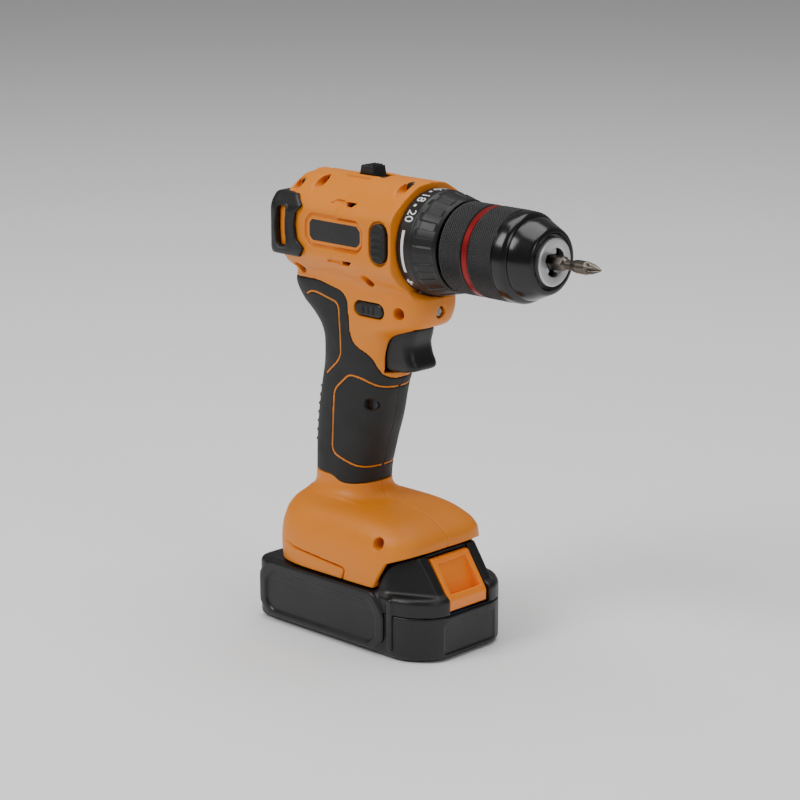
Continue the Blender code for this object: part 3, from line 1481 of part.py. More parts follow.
def button_outline(grow=0.0, low_extra=0.0):
    """The release button in X and Z: a slope with a lip at its foot."""
    front = BATTERY_LENGTH / 2
    return [
        (41.6 * MM - grow, BATTERY_DECK + 15.4 * MM + 3 * grow),
        (44.4 * MM + grow, BATTERY_DECK + 15.4 * MM + 3 * grow),
        (front - 1.0 * MM + grow, BATTERY_DECK - 2.6 * MM + grow),
        (front + grow, BATTERY_DECK - 4.0 * MM),
        (front + grow, BATTERY_DECK - 8.2 * MM - grow - low_extra),
        (front - 4.0 * MM - grow, BATTERY_DECK - 8.2 * MM - grow - low_extra),
        (46.5 * MM - grow, BATTERY_DECK + 2.0 * MM - low_extra),
        (41.6 * MM - grow, BATTERY_DECK + 8.0 * MM - low_extra),
    ]


def battery(f):
    """The slide-on pack: two case halves, the welded cells and the release button."""
    plan = battery_outline(0.0)
    eased = battery_outline(1.5 * MM)
    tray = loft(
        "battery_lower_case",
        [
            [Vector((x, y, 0)) for x, y in eased],
            [Vector((x, y, 1.5 * MM)) for x, y in plan],
            [Vector((x, y, BATTERY_SPLIT_Z)) for x, y in plan],
        ],
        f.black,
    )
    room = battery_outline(BATTERY_WALL)
    tray_room = prism("battery_tray_room", room, "Z", BATTERY_WALL, BATTERY_SPLIT_Z + 5 * MM, f.black)
    button_room = prism(
        "button_room",
        button_outline(RUN, BUTTON_TRAVEL + RUN),
        "Y",
        -BUTTON_HALF - RUN,
        BUTTON_HALF + RUN,
        f.black,
    )
    around = RUN + BUTTON_WALL
    pocket = prism(
        "button_pocket_guide",
        button_outline(around, BUTTON_TRAVEL + around),
        "Y",
        -BUTTON_HALF - around,
        BUTTON_HALF + around,
        f.black,
    )
    combine(tray_room, pocket)
    combine(tray, tray_room)
    combine(tray, button_room)

    lid_low = BATTERY_SPLIT_Z + GAP
    lid = loft(
        "battery_upper_case",
        [
            [Vector((x, y, lid_low)) for x, y in plan],
            [Vector((x, y, BATTERY_DECK - 1.5 * MM)) for x, y in plan],
            [Vector((x, y, BATTERY_DECK)) for x, y in eased],
        ],
        f.black,
    )
    hump = battery_hump(f)
    rail_z = DECK_Z + 3.8 * MM + RUN
    tongue = [
        (-TONGUE_HALF, BATTERY_DECK - 1 * MM),
        (TONGUE_HALF, BATTERY_DECK - 1 * MM),
        (TONGUE_HALF, rail_z),
        (RAIL_HALF, rail_z),
        (RAIL_HALF, BATTERY_DECK + TONGUE_RISE),
        (-RAIL_HALF, BATTERY_DECK + TONGUE_RISE),
        (-RAIL_HALF, rail_z),
        (-TONGUE_HALF, rail_z),
    ]
    tongue_form = prism("battery_tongue", tongue, "X", -36 * MM, 26 * MM, f.black)
    lid_room = prism(
        "battery_lid_room",
        battery_outline(BATTERY_WALL),
        "Z",
        lid_low - 5 * MM,
        BATTERY_DECK - BATTERY_WALL,
        f.black,
    )
    tongue_room = box(
        "tongue_room",
        (-33 * MM, -TONGUE_HALF + BATTERY_WALL, BATTERY_DECK - 6 * MM),
        (27 * MM, TONGUE_HALF - BATTERY_WALL, BATTERY_DECK + TONGUE_RISE - BATTERY_WALL),
        f.black,
    )
    hump_room = prism(
        "hump_room",
        [
            (27.5 * MM, BATTERY_DECK - 5 * MM),
            (27.5 * MM, BATTERY_DECK + 0.5 * MM),
            (33.5 * MM, BATTERY_DECK + 11 * MM),
            (39.5 * MM, BATTERY_DECK + 13 * MM),
            (39.5 * MM, BATTERY_DECK + 4 * MM),
            (46.5 * MM, BATTERY_DECK - 5 * MM),
        ],
        "Y",
        -HUMP_TOP_HALF + BATTERY_WALL,
        HUMP_TOP_HALF - BATTERY_WALL,
        f.black,
    )
    combine(lid_room, pocket)
    combine(hump_room, pocket)
    slots = bmesh.new()
    for y in BLADE_OFFSETS:
        ring = [(-40 * MM, y - 1.2 * MM), (-28 * MM, y - 1.2 * MM), (-28 * MM, y + 1.2 * MM)]
        ring += [(-40 * MM, y + 1.2 * MM)]
        levels = (DECK_Z + 3.2 * MM, DECK_Z + 20 * MM)
        add_loft(slots, [[Vector((x, v, z)) for x, v in ring] for z in levels])
    slot_cutter = add_object("blade_slot_cutter", slots, f.black)
    combine(lid, hump, "UNION")
    combine(lid, tongue_form, "UNION")
    combine(lid, lid_room)
    combine(lid, tongue_room)
    combine(lid, hump_room)
    combine(lid, button_room)
    combine(lid, slot_cutter)

    cell_pack(f)
    prism("battery_release_button", button_outline(), "Y", -BUTTON_HALF, BUTTON_HALF, f.orange)


def cell_pack(f):
    """The row of cells, welded to the strip and board that run along their tops."""
    cell_z = BATTERY_WALL + GAP + CELL_RADIUS
    board_z = cell_z + CELL_RADIUS - 0.8 * MM
    pack = box(
        "cell_pack", (-48 * MM, -18 * MM, board_z), (40 * MM, 18 * MM, board_z + 2.6 * MM), f.cell
    )
    cells = bmesh.new()
    for i in range(CELLS):
        x = CELLS_X + (i - (CELLS - 1) / 2) * CELL_PITCH
        ends = (-CELL_LENGTH / 2, CELL_LENGTH / 2)
        add_loft(cells, [[at("Y", u, v, y) for u, v in circle(CELL_RADIUS, 20, (x, cell_z))] for y in ends])
    combine(pack, add_object("cells", cells, f.cell), "UNION")


def build():
    """Make every piece of the drill."""
    clear_scene()
    finishes = Finishes()
    line = empty("spindle_axis", (0, 0, SPINDLE_Z))
    housing(finishes, line)
    motor(finishes, line)
    gearbox(finishes, line)
    clutch(finishes, line)
    chuck(finishes, line)
    controls(finishes, line)
    electrics(finishes)
    battery(finishes)
    for name, x, z, head_y, tip_y in screw_rows():
        screw = turned(name, screw_profile(head_y, tip_y, 0.0, 0.0), 8, finishes.black_steel, (x, 0, z))
        screw.rotation_euler = (0, 0, math.radians(90))


build()
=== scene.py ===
"""Looks of a compact cordless drill driver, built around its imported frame.

The frame's origin is the centre of the battery's underside: +X runs forward along the
spindle, +Y to the user's left and +Z up.  Sizes inside the classes are in millimetres and
become metres where a mesh is made.
"""

from __future__ import annotations

import json
import logging
import math
from dataclasses import dataclass, field
from enum import Enum
from typing import Callable, Optional, Sequence

import bmesh
import bpy
import numpy as np
import openvdb
from mathutils import Matrix, Vector

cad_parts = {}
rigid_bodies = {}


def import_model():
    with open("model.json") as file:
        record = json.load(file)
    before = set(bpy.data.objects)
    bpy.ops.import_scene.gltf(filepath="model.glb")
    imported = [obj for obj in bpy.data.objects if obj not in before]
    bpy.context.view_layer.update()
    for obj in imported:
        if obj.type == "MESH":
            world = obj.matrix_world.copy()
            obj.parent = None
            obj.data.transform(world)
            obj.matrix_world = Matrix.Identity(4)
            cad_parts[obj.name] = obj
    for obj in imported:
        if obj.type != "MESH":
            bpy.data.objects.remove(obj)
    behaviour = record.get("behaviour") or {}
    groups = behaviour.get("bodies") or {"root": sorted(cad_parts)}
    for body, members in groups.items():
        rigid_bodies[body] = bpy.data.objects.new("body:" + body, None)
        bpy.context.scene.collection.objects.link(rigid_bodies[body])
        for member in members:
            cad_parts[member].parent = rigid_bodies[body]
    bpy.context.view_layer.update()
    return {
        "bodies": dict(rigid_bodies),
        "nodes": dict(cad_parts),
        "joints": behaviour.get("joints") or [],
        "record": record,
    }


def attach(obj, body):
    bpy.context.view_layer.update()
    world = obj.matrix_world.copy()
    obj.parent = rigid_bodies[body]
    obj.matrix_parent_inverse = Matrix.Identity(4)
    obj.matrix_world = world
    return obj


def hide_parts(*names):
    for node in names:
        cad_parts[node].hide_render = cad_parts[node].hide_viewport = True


LOG = logging.getLogger("drill")
MM = 0.001
SPINDLE_Z = 199.5
DECK_Z = 32.5
TRIGGER_LOW, TRIGGER_HIGH = 133.2, 157.6
SELECTOR = (7, 165)
LAMP_Z = 165.8
SLIDER_X = -7.25
GRIP_SCREW = (3, 116.5)
SCREW_HOLE = 2.9

Outline = list[tuple[float, float]]
Profile = Sequence[tuple[float, float]]


# ---------------------------------------------------------------------------
# Colour and node helpers
# ---------------------------------------------------------------------------


def linear(colour: str) -> tuple[float, float, float, float]:
    """Turn an sRGB hex colour into linear components.

    Args:
        colour: A value such as "#F09A18".

    Returns:
        Red, green, blue and an alpha of one.
    """
    parts = [int(colour[i : i + 2], 16) / 255 for i in (1, 3, 5)]
    red, green, blue = (p / 12.92 if p <= 0.04045 else ((p + 0.055) / 1.055) ** 2.4 for p in parts)
    return red, green, blue, 1.0


def add_node(
    tree: bpy.types.NodeTree, kind: str, inputs: Optional[dict] = None, **settings: object
) -> bpy.types.Node:
    """Add a node with its settings, values and links.

    Args:
        tree: The tree that takes the node.
        kind: The node's type name.
        inputs: Socket name or number to a plain value or to the output it is linked from.
        **settings: Properties of the node itself.

    Returns:
        The new node.
    """
    node = tree.nodes.new(kind)
    for key, value in settings.items():
        setattr(node, key, value)
    for socket, value in (inputs or {}).items():
        if isinstance(value, bpy.types.NodeSocket):
            tree.links.new(value, node.inputs[socket])
        else:
            node.inputs[socket].default_value = value
    return node


# ---------------------------------------------------------------------------
# Finishes
# ---------------------------------------------------------------------------


@dataclass(frozen=True)
class Finish:
    """A surface: its colour, gloss and the pattern its making leaves."""

    name: str
    colour: str
    roughness: float
    metallic: float = 0.0
    ior: float = 1.5

    def make(self) -> bpy.types.Material:
        """Build the material.

        Returns:
            A new material with this finish's nodes.
        """
        made = bpy.data.materials.new(self.name)
        made.use_nodes = True
        made.diffuse_color = linear(self.colour)
        tree = made.node_tree
        shader = tree.nodes["Principled BSDF"]
        shader.inputs["Metallic"].default_value = self.metallic
        if not self.metallic:
            shader.inputs["IOR"].default_value = self.ior
        place = add_node(tree, "ShaderNodeTexCoord").outputs["Object"]
        self.surface(tree, shader, place)
        return made

    def tint(
        self, tree: bpy.types.NodeTree, shader: bpy.types.Node, share: bpy.types.NodeSocket,
        low: float, high: float,
    ) -> None:
        """Drift the colour between two strengths of itself.

        Args:
            tree: The material's tree.
            shader: Its Principled shader.
            share: What the drift follows.
            low: Strength where the share is nought.
            high: Strength where it is one.
        """
        parts = linear(self.colour)[:3]
        dark, light = (
            tuple(min(1.0, part * strength) for part in parts) + (1.0,) for strength in (low, high)
        )
        blend = add_node(tree, "ShaderNodeMix", {0: share, 6: dark, 7: light}, data_type="RGBA")
        tree.links.new(blend.outputs[2], shader.inputs["Base Color"])

    def shine(
        self, tree: bpy.types.NodeTree, shader: bpy.types.Node, share: bpy.types.NodeSocket,
        low: float, high: float, span: tuple[float, float] = (0.0, 1.0),
    ) -> None:
        """Drift the roughness between two values.

        Args:
            tree: The material's tree.
            shader: Its Principled shader.
            share: What the drift follows.
            low: Roughness at the start of the span.
            high: Roughness at its end.
            span: The part of the share that is used.
        """
        ends = {"From Min": span[0], "From Max": span[1], "To Min": low, "To Max": high}
        gloss = add_node(tree, "ShaderNodeMapRange", {"Value": share, **ends})
        tree.links.new(gloss.outputs["Result"], shader.inputs["Roughness"])

    def emboss(
        self, tree: bpy.types.NodeTree, shader: bpy.types.Node, height: bpy.types.NodeSocket,
        depth_mm: float, strength: float = 1.0,
    ) -> None:
        """Raise a pattern a little from the surface.

        Args:
            tree: The material's tree.
            shader: Its Principled shader.
            height: The pattern.
            depth_mm: Its depth.
            strength: How fully it shows.
        """
        bump = add_node(
            tree, "ShaderNodeBump", {"Height": height, "Strength": strength, "Distance": depth_mm * MM}
        )
        tree.links.new(bump.outputs["Normal"], shader.inputs["Normal"])

    def surface(
        self, tree: bpy.types.NodeTree, shader: bpy.types.Node, place: bpy.types.NodeSocket
    ) -> None:
        """Link this finish's pattern to the shader.

        Args:
            tree: The material's tree.
            shader: Its Principled shader.
            place: Object coordinates in metres.
        """
        raise NotImplementedError


@dataclass(frozen=True)
class Moulded(Finish):
    """Injection-moulded polymer: an even spark-eroded grain and a faint mottle in the colour."""

    grain_mm: float = 0.5
    grain_depth_mm: float = 0.02
    mottle: float = 0.05
    mottle_mm: float = 16.0
    gloss_spread: float = 0.06
    gloss_span: tuple[float, float] = (0.3, 0.7)

    def surface(
        self, tree: bpy.types.NodeTree, shader: bpy.types.Node, place: bpy.types.NodeSocket
    ) -> None:
        """Link the mottle to the colour, a gloss drift to the roughness and the grain to a bump.

        Args:
            tree: The material's tree.
            shader: Its Principled shader.
            place: Object coordinates in metres.
        """
        broad = add_node(
            tree, "ShaderNodeTexNoise", {"Vector": place, "Scale": 1 / (self.mottle_mm * MM), "Detail": 3.0}
        ).outputs["Fac"]
        low, high = self.roughness - self.gloss_spread, self.roughness + self.gloss_spread
        self.tint(tree, shader, broad, 1 - self.mottle, 1 + self.mottle)
        self.shine(tree, shader, broad, low, high, self.gloss_span)
        grain = add_node(
            tree,
            "ShaderNodeTexNoise",
            {"Vector": place, "Scale": 1 / (self.grain_mm * MM), "Detail": 2.0, "Roughness": 0.6},
        )
        self.emboss(tree, shader, grain.outputs["Fac"], self.grain_depth_mm)


@dataclass(frozen=True)
class Turned(Finish):
    """Metal turned on a lathe: fine rings about the spindle's axis that catch the light in bands."""

    ring_mm: float = 0.25
    ring_depth_mm: float = 0.006
    tone_spread: float = 0.10
    dull: float = 1.25
    bright: float = 0.8

    def surface(
        self, tree: bpy.types.NodeTree, shader: bpy.types.Node, place: bpy.types.NodeSocket
    ) -> None:
        """Draw rings that depend on the distance along and out from the spindle's axis.

        Args:
            tree: The material's tree.
            shader: Its Principled shader.
            place: Object coordinates in metres.
        """
        centred = add_node(
            tree, "ShaderNodeVectorMath", {0: place, 1: (0.0, 0.0, -SPINDLE_Z * MM)}, operation="ADD"
        ).outputs["Vector"]
        across = add_node(
            tree, "ShaderNodeVectorMath", {0: centred, 1: (0.0, 1.0, 1.0)}, operation="MULTIPLY"
        )
        radius = add_node(tree, "ShaderNodeVectorMath", {0: across.outputs["Vector"]}, operation="LENGTH")
        along = add_node(tree, "ShaderNodeSeparateXYZ", {0: centred}).outputs["X"]
        flat = add_node(tree, "ShaderNodeCombineXYZ", {"X": along, "Y": radius.outputs["Value"]})
        rings = add_node(
            tree,
            "ShaderNodeTexNoise",
            {"Vector": flat.outputs["Vector"], "Scale": 1 / (self.ring_mm * MM), "Detail": 1.0},
        ).outputs["Fac"]
        self.tint(tree, shader, rings, 1 - self.tone_spread, 1 + self.tone_spread)
        self.shine(tree, shader, rings, self.roughness * self.bright, self.roughness * self.dull)
        self.emboss(tree, shader, rings, self.ring_depth_mm)


@dataclass(frozen=True)
class Sintered(Finish):
    """Pressed and sintered or die-cast metal: a close speckle of pores and a dull sheen."""

    pore_mm: float = 0.6
    pore_depth_mm: float = 0.03
    tone_spread: float = 0.2
    dull: float = 1.15
    bright: float = 0.85
    relief: float = 0.6

    def surface(
        self, tree: bpy.types.NodeTree, shader: bpy.types.Node, place: bpy.types.NodeSocket
    ) -> None:
        """Link a cell pattern to the colour, the roughness and a bump.

        Args:
            tree: The material's tree.
            shader: Its Principled shader.
            place: Object coordinates in metres.
        """
        pores = add_node(
            tree, "ShaderNodeTexVoronoi", {"Vector": place, "Scale": 1 / (self.pore_mm * MM)}
        ).outputs["Distance"]
        self.tint(tree, shader, pores, 1 - self.tone_spread, 1.0)
        self.shine(tree, shader, pores, self.roughness * self.dull, self.roughness * self.bright)
        self.emboss(tree, shader, pores, self.pore_depth_mm, self.relief)


@dataclass(frozen=True)
class ClearLens(Moulded):
    """Clear moulded polycarbonate: light passes, with a faint orange-peel skin."""

    def surface(
        self, tree: bpy.types.NodeTree, shader: bpy.types.Node, place: bpy.types.NodeSocket
    ) -> None:
        """Add transmission to the moulded skin.

        Args:
            tree: The material's tree.
            shader: Its Principled shader.
            place: Object coordinates in metres.
        """
        super().surface(tree, shader, place)
        shader.inputs["Transmission Weight"].default_value = 0.75


class Surface(Enum):
    """Every finish on the drill, by the material it is and how it was made."""

    # Glass-filled nylon, spark-eroded mould: a warm, even amber with a soft broad highlight.
    AMBER_NYLON = Moulded("amber_moulded_nylon", "#E28000", 0.48, grain_depth_mm=0.012, mottle=0.04)
    # The same nylon in black: near black, greyed by the grain where light grazes it.
    BLACK_NYLON = Moulded("black_moulded_nylon", "#0A0A0B", 0.44, grain_mm=0.6, grain_depth_mm=0.02)
    # Black battery case, a coarser mould texture and a little more sheen.
    CASE_NYLON = Moulded("battery_case_nylon", "#0D0D0F", 0.40, grain_mm=0.7, grain_depth_mm=0.015)
    # Overmoulded thermoplastic elastomer: soft, matte, slightly lighter than the hard black.
    ELASTOMER = Moulded(
        "grip_elastomer", "#0D0D0D", 0.60, grain_mm=0.5, grain_depth_mm=0.03, mottle=0.08
    )
    # Orange acetal: saturated, smooth, with a waxy highlight.
    ORANGE_ACETAL = Moulded(
        "orange_acetal", "#FA7600", 0.40, ior=1.48, grain_depth_mm=0.004, mottle=0.03
    )
    # Anodised aluminium, dyed red and knurled with the sleeve it sits in.
    RED_ANODISED = Turned("red_anodised_aluminium", "#8A0D10", 0.38, metallic=0.55, ring_depth_mm=0.003)
    # Polished black nylon of the chuck's front: dark and glossy, with sharp long highlights.
    GLOSS_NYLON = Moulded(
        "polished_black_nylon", "#0A0A0C", 0.20, grain_depth_mm=0.002, mottle=0.05, gloss_spread=0.03
    )
    # Turned and ground steel: neutral grey with rings that catch the light.
    GROUND_STEEL = Turned("ground_steel", "#5A5046", 0.36, metallic=1.0)
    # Hardened tool steel of the bit, darker and brownish from tempering.
    BIT_STEEL = Turned("tempered_bit_steel", "#676059", 0.33, metallic=1.0, ring_mm=0.18)
    # Black-oxided screws.
    OXIDE_STEEL = Sintered("black_oxide_steel", "#2A2A2D", 0.45, metallic=0.85, pore_depth_mm=0.01)
    # Sintered gear steel.
    SINTERED_STEEL = Sintered("sintered_steel", "#6F6F72", 0.5, metallic=1.0)
    # Nickel-plated magnet sleeve.
    NICKEL = Turned("nickel_plate", "#A8A49C", 0.3, metallic=1.0)
    # Enamelled copper between lacquered laminations.
    COPPER = Sintered("enamelled_copper", "#B4622F", 0.4, metallic=0.8, pore_mm=1.2)
    # Die-cast zinc, dull with fine pits.
    ZINC = Sintered("die_cast_zinc", "#A0A0A4", 0.48, metallic=1.0, pore_mm=0.9)
    # Solder mask on the circuit board.
    BOARD = Moulded("solder_mask", "#14502D", 0.35, grain_depth_mm=0.01, mottle=0.15, mottle_mm=4.0)
    # Shrink sleeve on the cells.
    SLEEVE = Moulded("cell_sleeve", "#1F5C9E", 0.3, grain_depth_mm=0.006)
    # Silicone wire insulation.
    INSULATION = Moulded("red_wire_insulation", "#A01A18", 0.45, grain_depth_mm=0.01)
    # Moulded clear lens over the lamp.
    LENS = ClearLens("clear_polycarbonate", "#8A8C90", 0.10, ior=1.58, grain_depth_mm=0.004)
    # Pad-printed ink: flat white with slightly uneven cover.
    WHITE_INK = Moulded("white_print", "#E9E9EA", 0.5, grain_depth_mm=0.002, mottle=0.06, mottle_mm=1.5)
    # Satin film of the labels, smoother than the case around it.
    LABEL_FILM = Moulded("label_film", "#0D0D0F", 0.33, grain_depth_mm=0.003, mottle=0.05)

    def material(self) -> bpy.types.Material:
        """The finish's material, made the first time it is asked for."""
        return bpy.data.materials.get(self.value.name) or self.value.make()


SLOT_SURFACES: dict[str, Surface] = {
    "amber_nylon": Surface.AMBER_NYLON,
    "black_nylon": Surface.BLACK_NYLON,
    "black_elastomer": Surface.ELASTOMER,
    "orange_acetal": Surface.ORANGE_ACETAL,
    "red_anodised": Surface.RED_ANODISED,
    "black_oxide_steel": Surface.OXIDE_STEEL,
    "ground_steel": Surface.GROUND_STEEL,
    "sintered_steel": Surface.SINTERED_STEEL,
    "nickel_plated_magnet": Surface.NICKEL,
    "enamelled_copper": Surface.COPPER,
    "die_cast_zinc": Surface.ZINC,
    "green_circuit_board": Surface.BOARD,
    "cell_sleeve": Surface.SLEEVE,
    "clear_polycarbonate": Surface.LENS,
    "red_wire_insulation": Surface.INSULATION,
}


# ---------------------------------------------------------------------------
# Shapes held as distances
# ---------------------------------------------------------------------------


def union(first: np.ndarray, second: np.ndarray, fillet: float = 0.0) -> np.ndarray:
    """Join two distance fields.

    Args:
        first: Distances to one form, negative inside.
        second: Distances to the other.
        fillet: Width of the blend between them, in millimetres.

    Returns:
        Distances to the joined form.
    """
    if fillet <= 0:
        return np.minimum(first, second)
    share = np.clip(0.5 + 0.5 * (second - first) / fillet, 0, 1)
    return second + (first - second) * share - fillet * share * (1 - share)


def cut(first: np.ndarray, second: np.ndarray, fillet: float = 0.0) -> np.ndarray:
    """Take a second form out of a first.

    Args:
        first: Distances to the form that stays.
        second: Distances to the form that is taken out.
        fillet: Width of the eased edge, in millimetres.

    Returns:
        Distances to what is left.
    """
    return -union(-first, second, fillet)


def common(first: np.ndarray, second: np.ndarray, fillet: float = 0.0) -> np.ndarray:
    """Keep what two forms share.

    Args:
        first: Distances to one form.
        second: Distances to the other.
        fillet: Width of the eased edge, in millimetres.

    Returns:
        Distances to the shared form.
    """
    return -union(-first, -second, fillet)


def filleted(outline: Outline, radius: float, steps: int = 4) -> Outline:
    """Round every corner of an outline.

    Args:
        outline: Its corners in order.
        radius: Corner radius, less where a side is short.
        steps: Pieces in each corner's arc.

    Returns:
        The rounded outline.
    """
    rounded: Outline = []
    count = len(outline)
    for i, corner in enumerate(outline):
        here = Vector(corner)
        back = Vector(outline[i - 1]) - here
        ahead = Vector(outline[(i + 1) % count]) - here
        reach = min(radius, 0.45 * back.length, 0.45 * ahead.length)
        start, end = here + back.normalized() * reach, here + ahead.normalized() * reach
        for step in range(steps + 1):
            t = step / steps
            point = start * (1 - t) ** 2 + here * 2 * t * (1 - t) + end * t * t
            rounded.append((point.x, point.y))
    return rounded


def outline_distance(outline: Outline, u: np.ndarray, v: np.ndarray) -> np.ndarray:
    """Signed distance to a closed outline.

    Args:
        outline: Its points in order.
        u: First coordinate of every sample.
        v: Second coordinate.

    Returns:
        Distances, negative inside.
    """
    nearest, inside = None, None
    for (au, av), (bu, bv) in zip(outline, outline[1:] + outline[:1]):
        du, dv = bu - au, bv - av
        along = np.clip(((u - au) * du + (v - av) * dv) / max(du * du + dv * dv, 1e-9), 0, 1)
        square = (u - au - du * along) ** 2 + (v - av - dv * along) ** 2
        nearest = square if nearest is None else np.minimum(nearest, square)
        if abs(dv) > 1e-9:
            crosses = ((av > v) != (bv > v)) & (u < du * (v - av) / dv + au)
            inside = crosses if inside is None else inside ^ crosses
    return np.where(inside, -1.0, 1.0) * np.sqrt(nearest)


def path_distance(path: Outline, u: np.ndarray, v: np.ndarray) -> np.ndarray:
    """Distance to an open path.

    Args:
        path: Its points in order.
        u: First coordinate of every sample.
        v: Second coordinate.

    Returns:
        Distances, all positive.
    """
    nearest = None
    for (au, av), (bu, bv) in zip(path, path[1:]):
        du, dv = bu - au, bv - av
        along = np.clip(((u - au) * du + (v - av) * dv) / max(du * du + dv * dv, 1e-9), 0, 1)
        square = (u - au - du * along) ** 2 + (v - av - dv * along) ** 2
        nearest = square if nearest is None else np.minimum(nearest, square)
    return np.sqrt(nearest)


def smooth_path(path: Outline, steps: int = 5) -> Outline:
    """A path with its corners eased, its ends kept.

    Args:
        path: Its points in order.
        steps: Pieces in each corner's arc.

    Returns:
        The eased path.
    """
    eased = filleted(path, 3.0, steps)
    return [path[0], *eased[steps + 1 : -(steps + 1)], path[-1]]


def between(value: np.ndarray, low: float, high: float) -> np.ndarray:
    """Distances to the slab of values from low to high."""
    return np.maximum(low - value, value - high)


def pushed(flat: np.ndarray, along: np.ndarray, low: float, high: float, edge: float) -> np.ndarray:
    """Push a flat form along an axis and round its edges.

    Args:
        flat: Distances across the axis.
        along: The coordinate along the axis.
        low: Where the form starts.
        high: Where it ends.
        edge: Radius of its edges.

    Returns:
        Distances to the pushed form.
    """
    ends = between(along, low, high)
    u, v = flat + edge, ends + edge
    outside = np.sqrt(np.maximum(u, 0) ** 2 + np.maximum(v, 0) ** 2)
    return np.minimum(np.maximum(u, v), 0) + outside - edge


def rectangle(low: tuple[float, float], high: tuple[float, float]) -> Outline:
    """The corners of an upright rectangle."""
    return [low, (high[0], low[1]), high, (low[0], high[1])]


def stadium(centre: tuple[float, float], length: float, height: float) -> Outline:
    """A slot with round ends.

    Args:
        centre: Its middle.
        length: From end to end.
        height: Across.

    Returns:
        Its outline.
    """
    radius = height / 2
    points: Outline = []
    for side, start in ((1, -90), (-1, 90)):
        for i in range(9):
            angle = math.radians(start + 22.5 * i)
            u = centre[0] + side * (length / 2 - radius) + radius * math.cos(angle)
            points.append((u, centre[1] + radius * math.sin(angle)))
    return points


def through_rows(rows: Sequence[Sequence[float]], z: np.ndarray) -> list[np.ndarray]:
    """Run smooth curves through rows of sizes.

    Args:
        rows: Height first, then the sizes there, in rising order of height.
        z: Heights to read at.

    Returns:
        One array for each size.
    """
    table = np.array(rows, float)
    heights, sizes = table[:, 0], table[:, 1:]
    gaps = np.diff(heights)
    steps = np.diff(sizes, axis=0) / gaps[:, None]
    slopes = np.vstack([steps[:1], (steps[:-1] + steps[1:]) / 2, steps[-1:]])
    flat = np.vstack([np.zeros((1, sizes.shape[1])), steps[:-1] * steps[1:], np.zeros((1, sizes.shape[1]))])
    slopes = np.where(flat < 0, 0.0, slopes)
    clipped = np.clip(z, heights[0], heights[-1])
    index = np.clip(np.searchsorted(heights, clipped) - 1, 0, len(gaps) - 1)
    gap = gaps[index]
    t = (clipped - heights[index]) / gap
    curves = []
    for i in range(sizes.shape[1]):
        low, high = sizes[index, i], sizes[index + 1, i]
        rise, fall = slopes[index, i] * gap, slopes[index + 1, i] * gap
        curves.append(
            low * (2 * t**3 - 3 * t**2 + 1)
            + rise * (t**3 - 2 * t**2 + t)
            + high * (3 * t**2 - 2 * t**3)
            + fall * (t**3 - t**2)
        )
    return curves


def oval_distance(x: np.ndarray, y: np.ndarray, rows: Sequence[np.ndarray], step: float) -> np.ndarray:
    """Distance to a column of squared ovals.

    Args:
        x: Samples along the drill.
        y: Samples across it.
        rows: Rear, front, half-width and squareness at each height.
        step: Distance between heights.

    Returns:
        Nearly true distances close to the surface.
    """
    rear, front, half, power = (row[None, None, :] for row in rows)
    rear_climb, front_climb, half_climb = (np.gradient(row, step)[None, None, :] for row in rows[:3])
    reach = (front - rear) / 2
    offset = x - (front + rear) / 2
    u = np.abs(offset) / reach + 1e-6
    v = np.abs(y) / half + 1e-6
    size = (u**power + v**power) ** (1 / power)
    along = (u / size) ** (power - 1) / reach
    across = (v / size) ** (power - 1) / half
    slope = np.sqrt(along**2 + across**2)
    climb = (along * np.where(offset > 0, front_climb, -rear_climb) + across * half_climb) / slope
    return (size - 1) / (slope * np.sqrt(1 + climb**2))


class Grid:
    """Samples on a regular lattice, from which a form's surface is drawn."""

    def __init__(self, low: Sequence[float], high: Sequence[float], step: float) -> None:
        """Lay out the lattice.

        Args:
            low: Its lowest corner in millimetres.
            high: Its highest corner.
            step: Spacing of the samples.
        """
        self.low = np.array(low, float)
        self.step = step
        counts = np.ceil((np.array(high, float) - self.low) / step).astype(int) + 1
        x, y, z = (self.low[i] + step * np.arange(counts[i]) for i in range(3))
        self.shape = tuple(counts)
        self.x = x[:, None, None].astype(np.float32)
        self.y = y[None, :, None].astype(np.float32)
        self.z = z[None, None, :].astype(np.float32)

    def surface(self, distances: np.ndarray) -> tuple[np.ndarray, np.ndarray]:
        """Draw the surface where the distance is zero.

        Args:
            distances: One value for each sample, in millimetres.

        Returns:
            Points in millimetres and four-cornered faces.
        """
        band = 3 * self.step
        volume = openvdb.FloatGrid(band)
        clipped = np.clip(np.broadcast_to(distances, self.shape), -band, band)
        volume.copyFromArray(np.ascontiguousarray(clipped, np.float32))
        points, quads = volume.convertToQuads(isovalue=0.0)
        return points * self.step + self.low, quads


def mesh_object(
    name: str, points: np.ndarray, faces: np.ndarray | list, surface: Surface
) -> bpy.types.Object:
    """Make an object from points and faces, with its faces out.

    Args:
        name: The piece's name.
        points: Points in millimetres.
        faces: Corner numbers of each face.
        surface: Its finish.

    Returns:
        The object, linked to the scene.
    """
    mesh = bpy.data.meshes.new(name)
    corners = faces.tolist() if isinstance(faces, np.ndarray) else faces
    mesh.from_pydata((np.asarray(points, float) * MM).tolist(), [], corners)
    mesh.validate()
    held = bmesh.new()
    held.from_mesh(mesh)
    if held.calc_volume(signed=True) < 0:
        bmesh.ops.reverse_faces(held, faces=held.faces)
    held.to_mesh(mesh)
    held.free()
    mesh.materials.append(surface.material())
    mesh.shade_smooth()
    made = bpy.data.objects.new(name, mesh)
    bpy.context.scene.collection.objects.link(made)
    LOG.info("%s: %d faces", name, len(mesh.polygons))
    return made


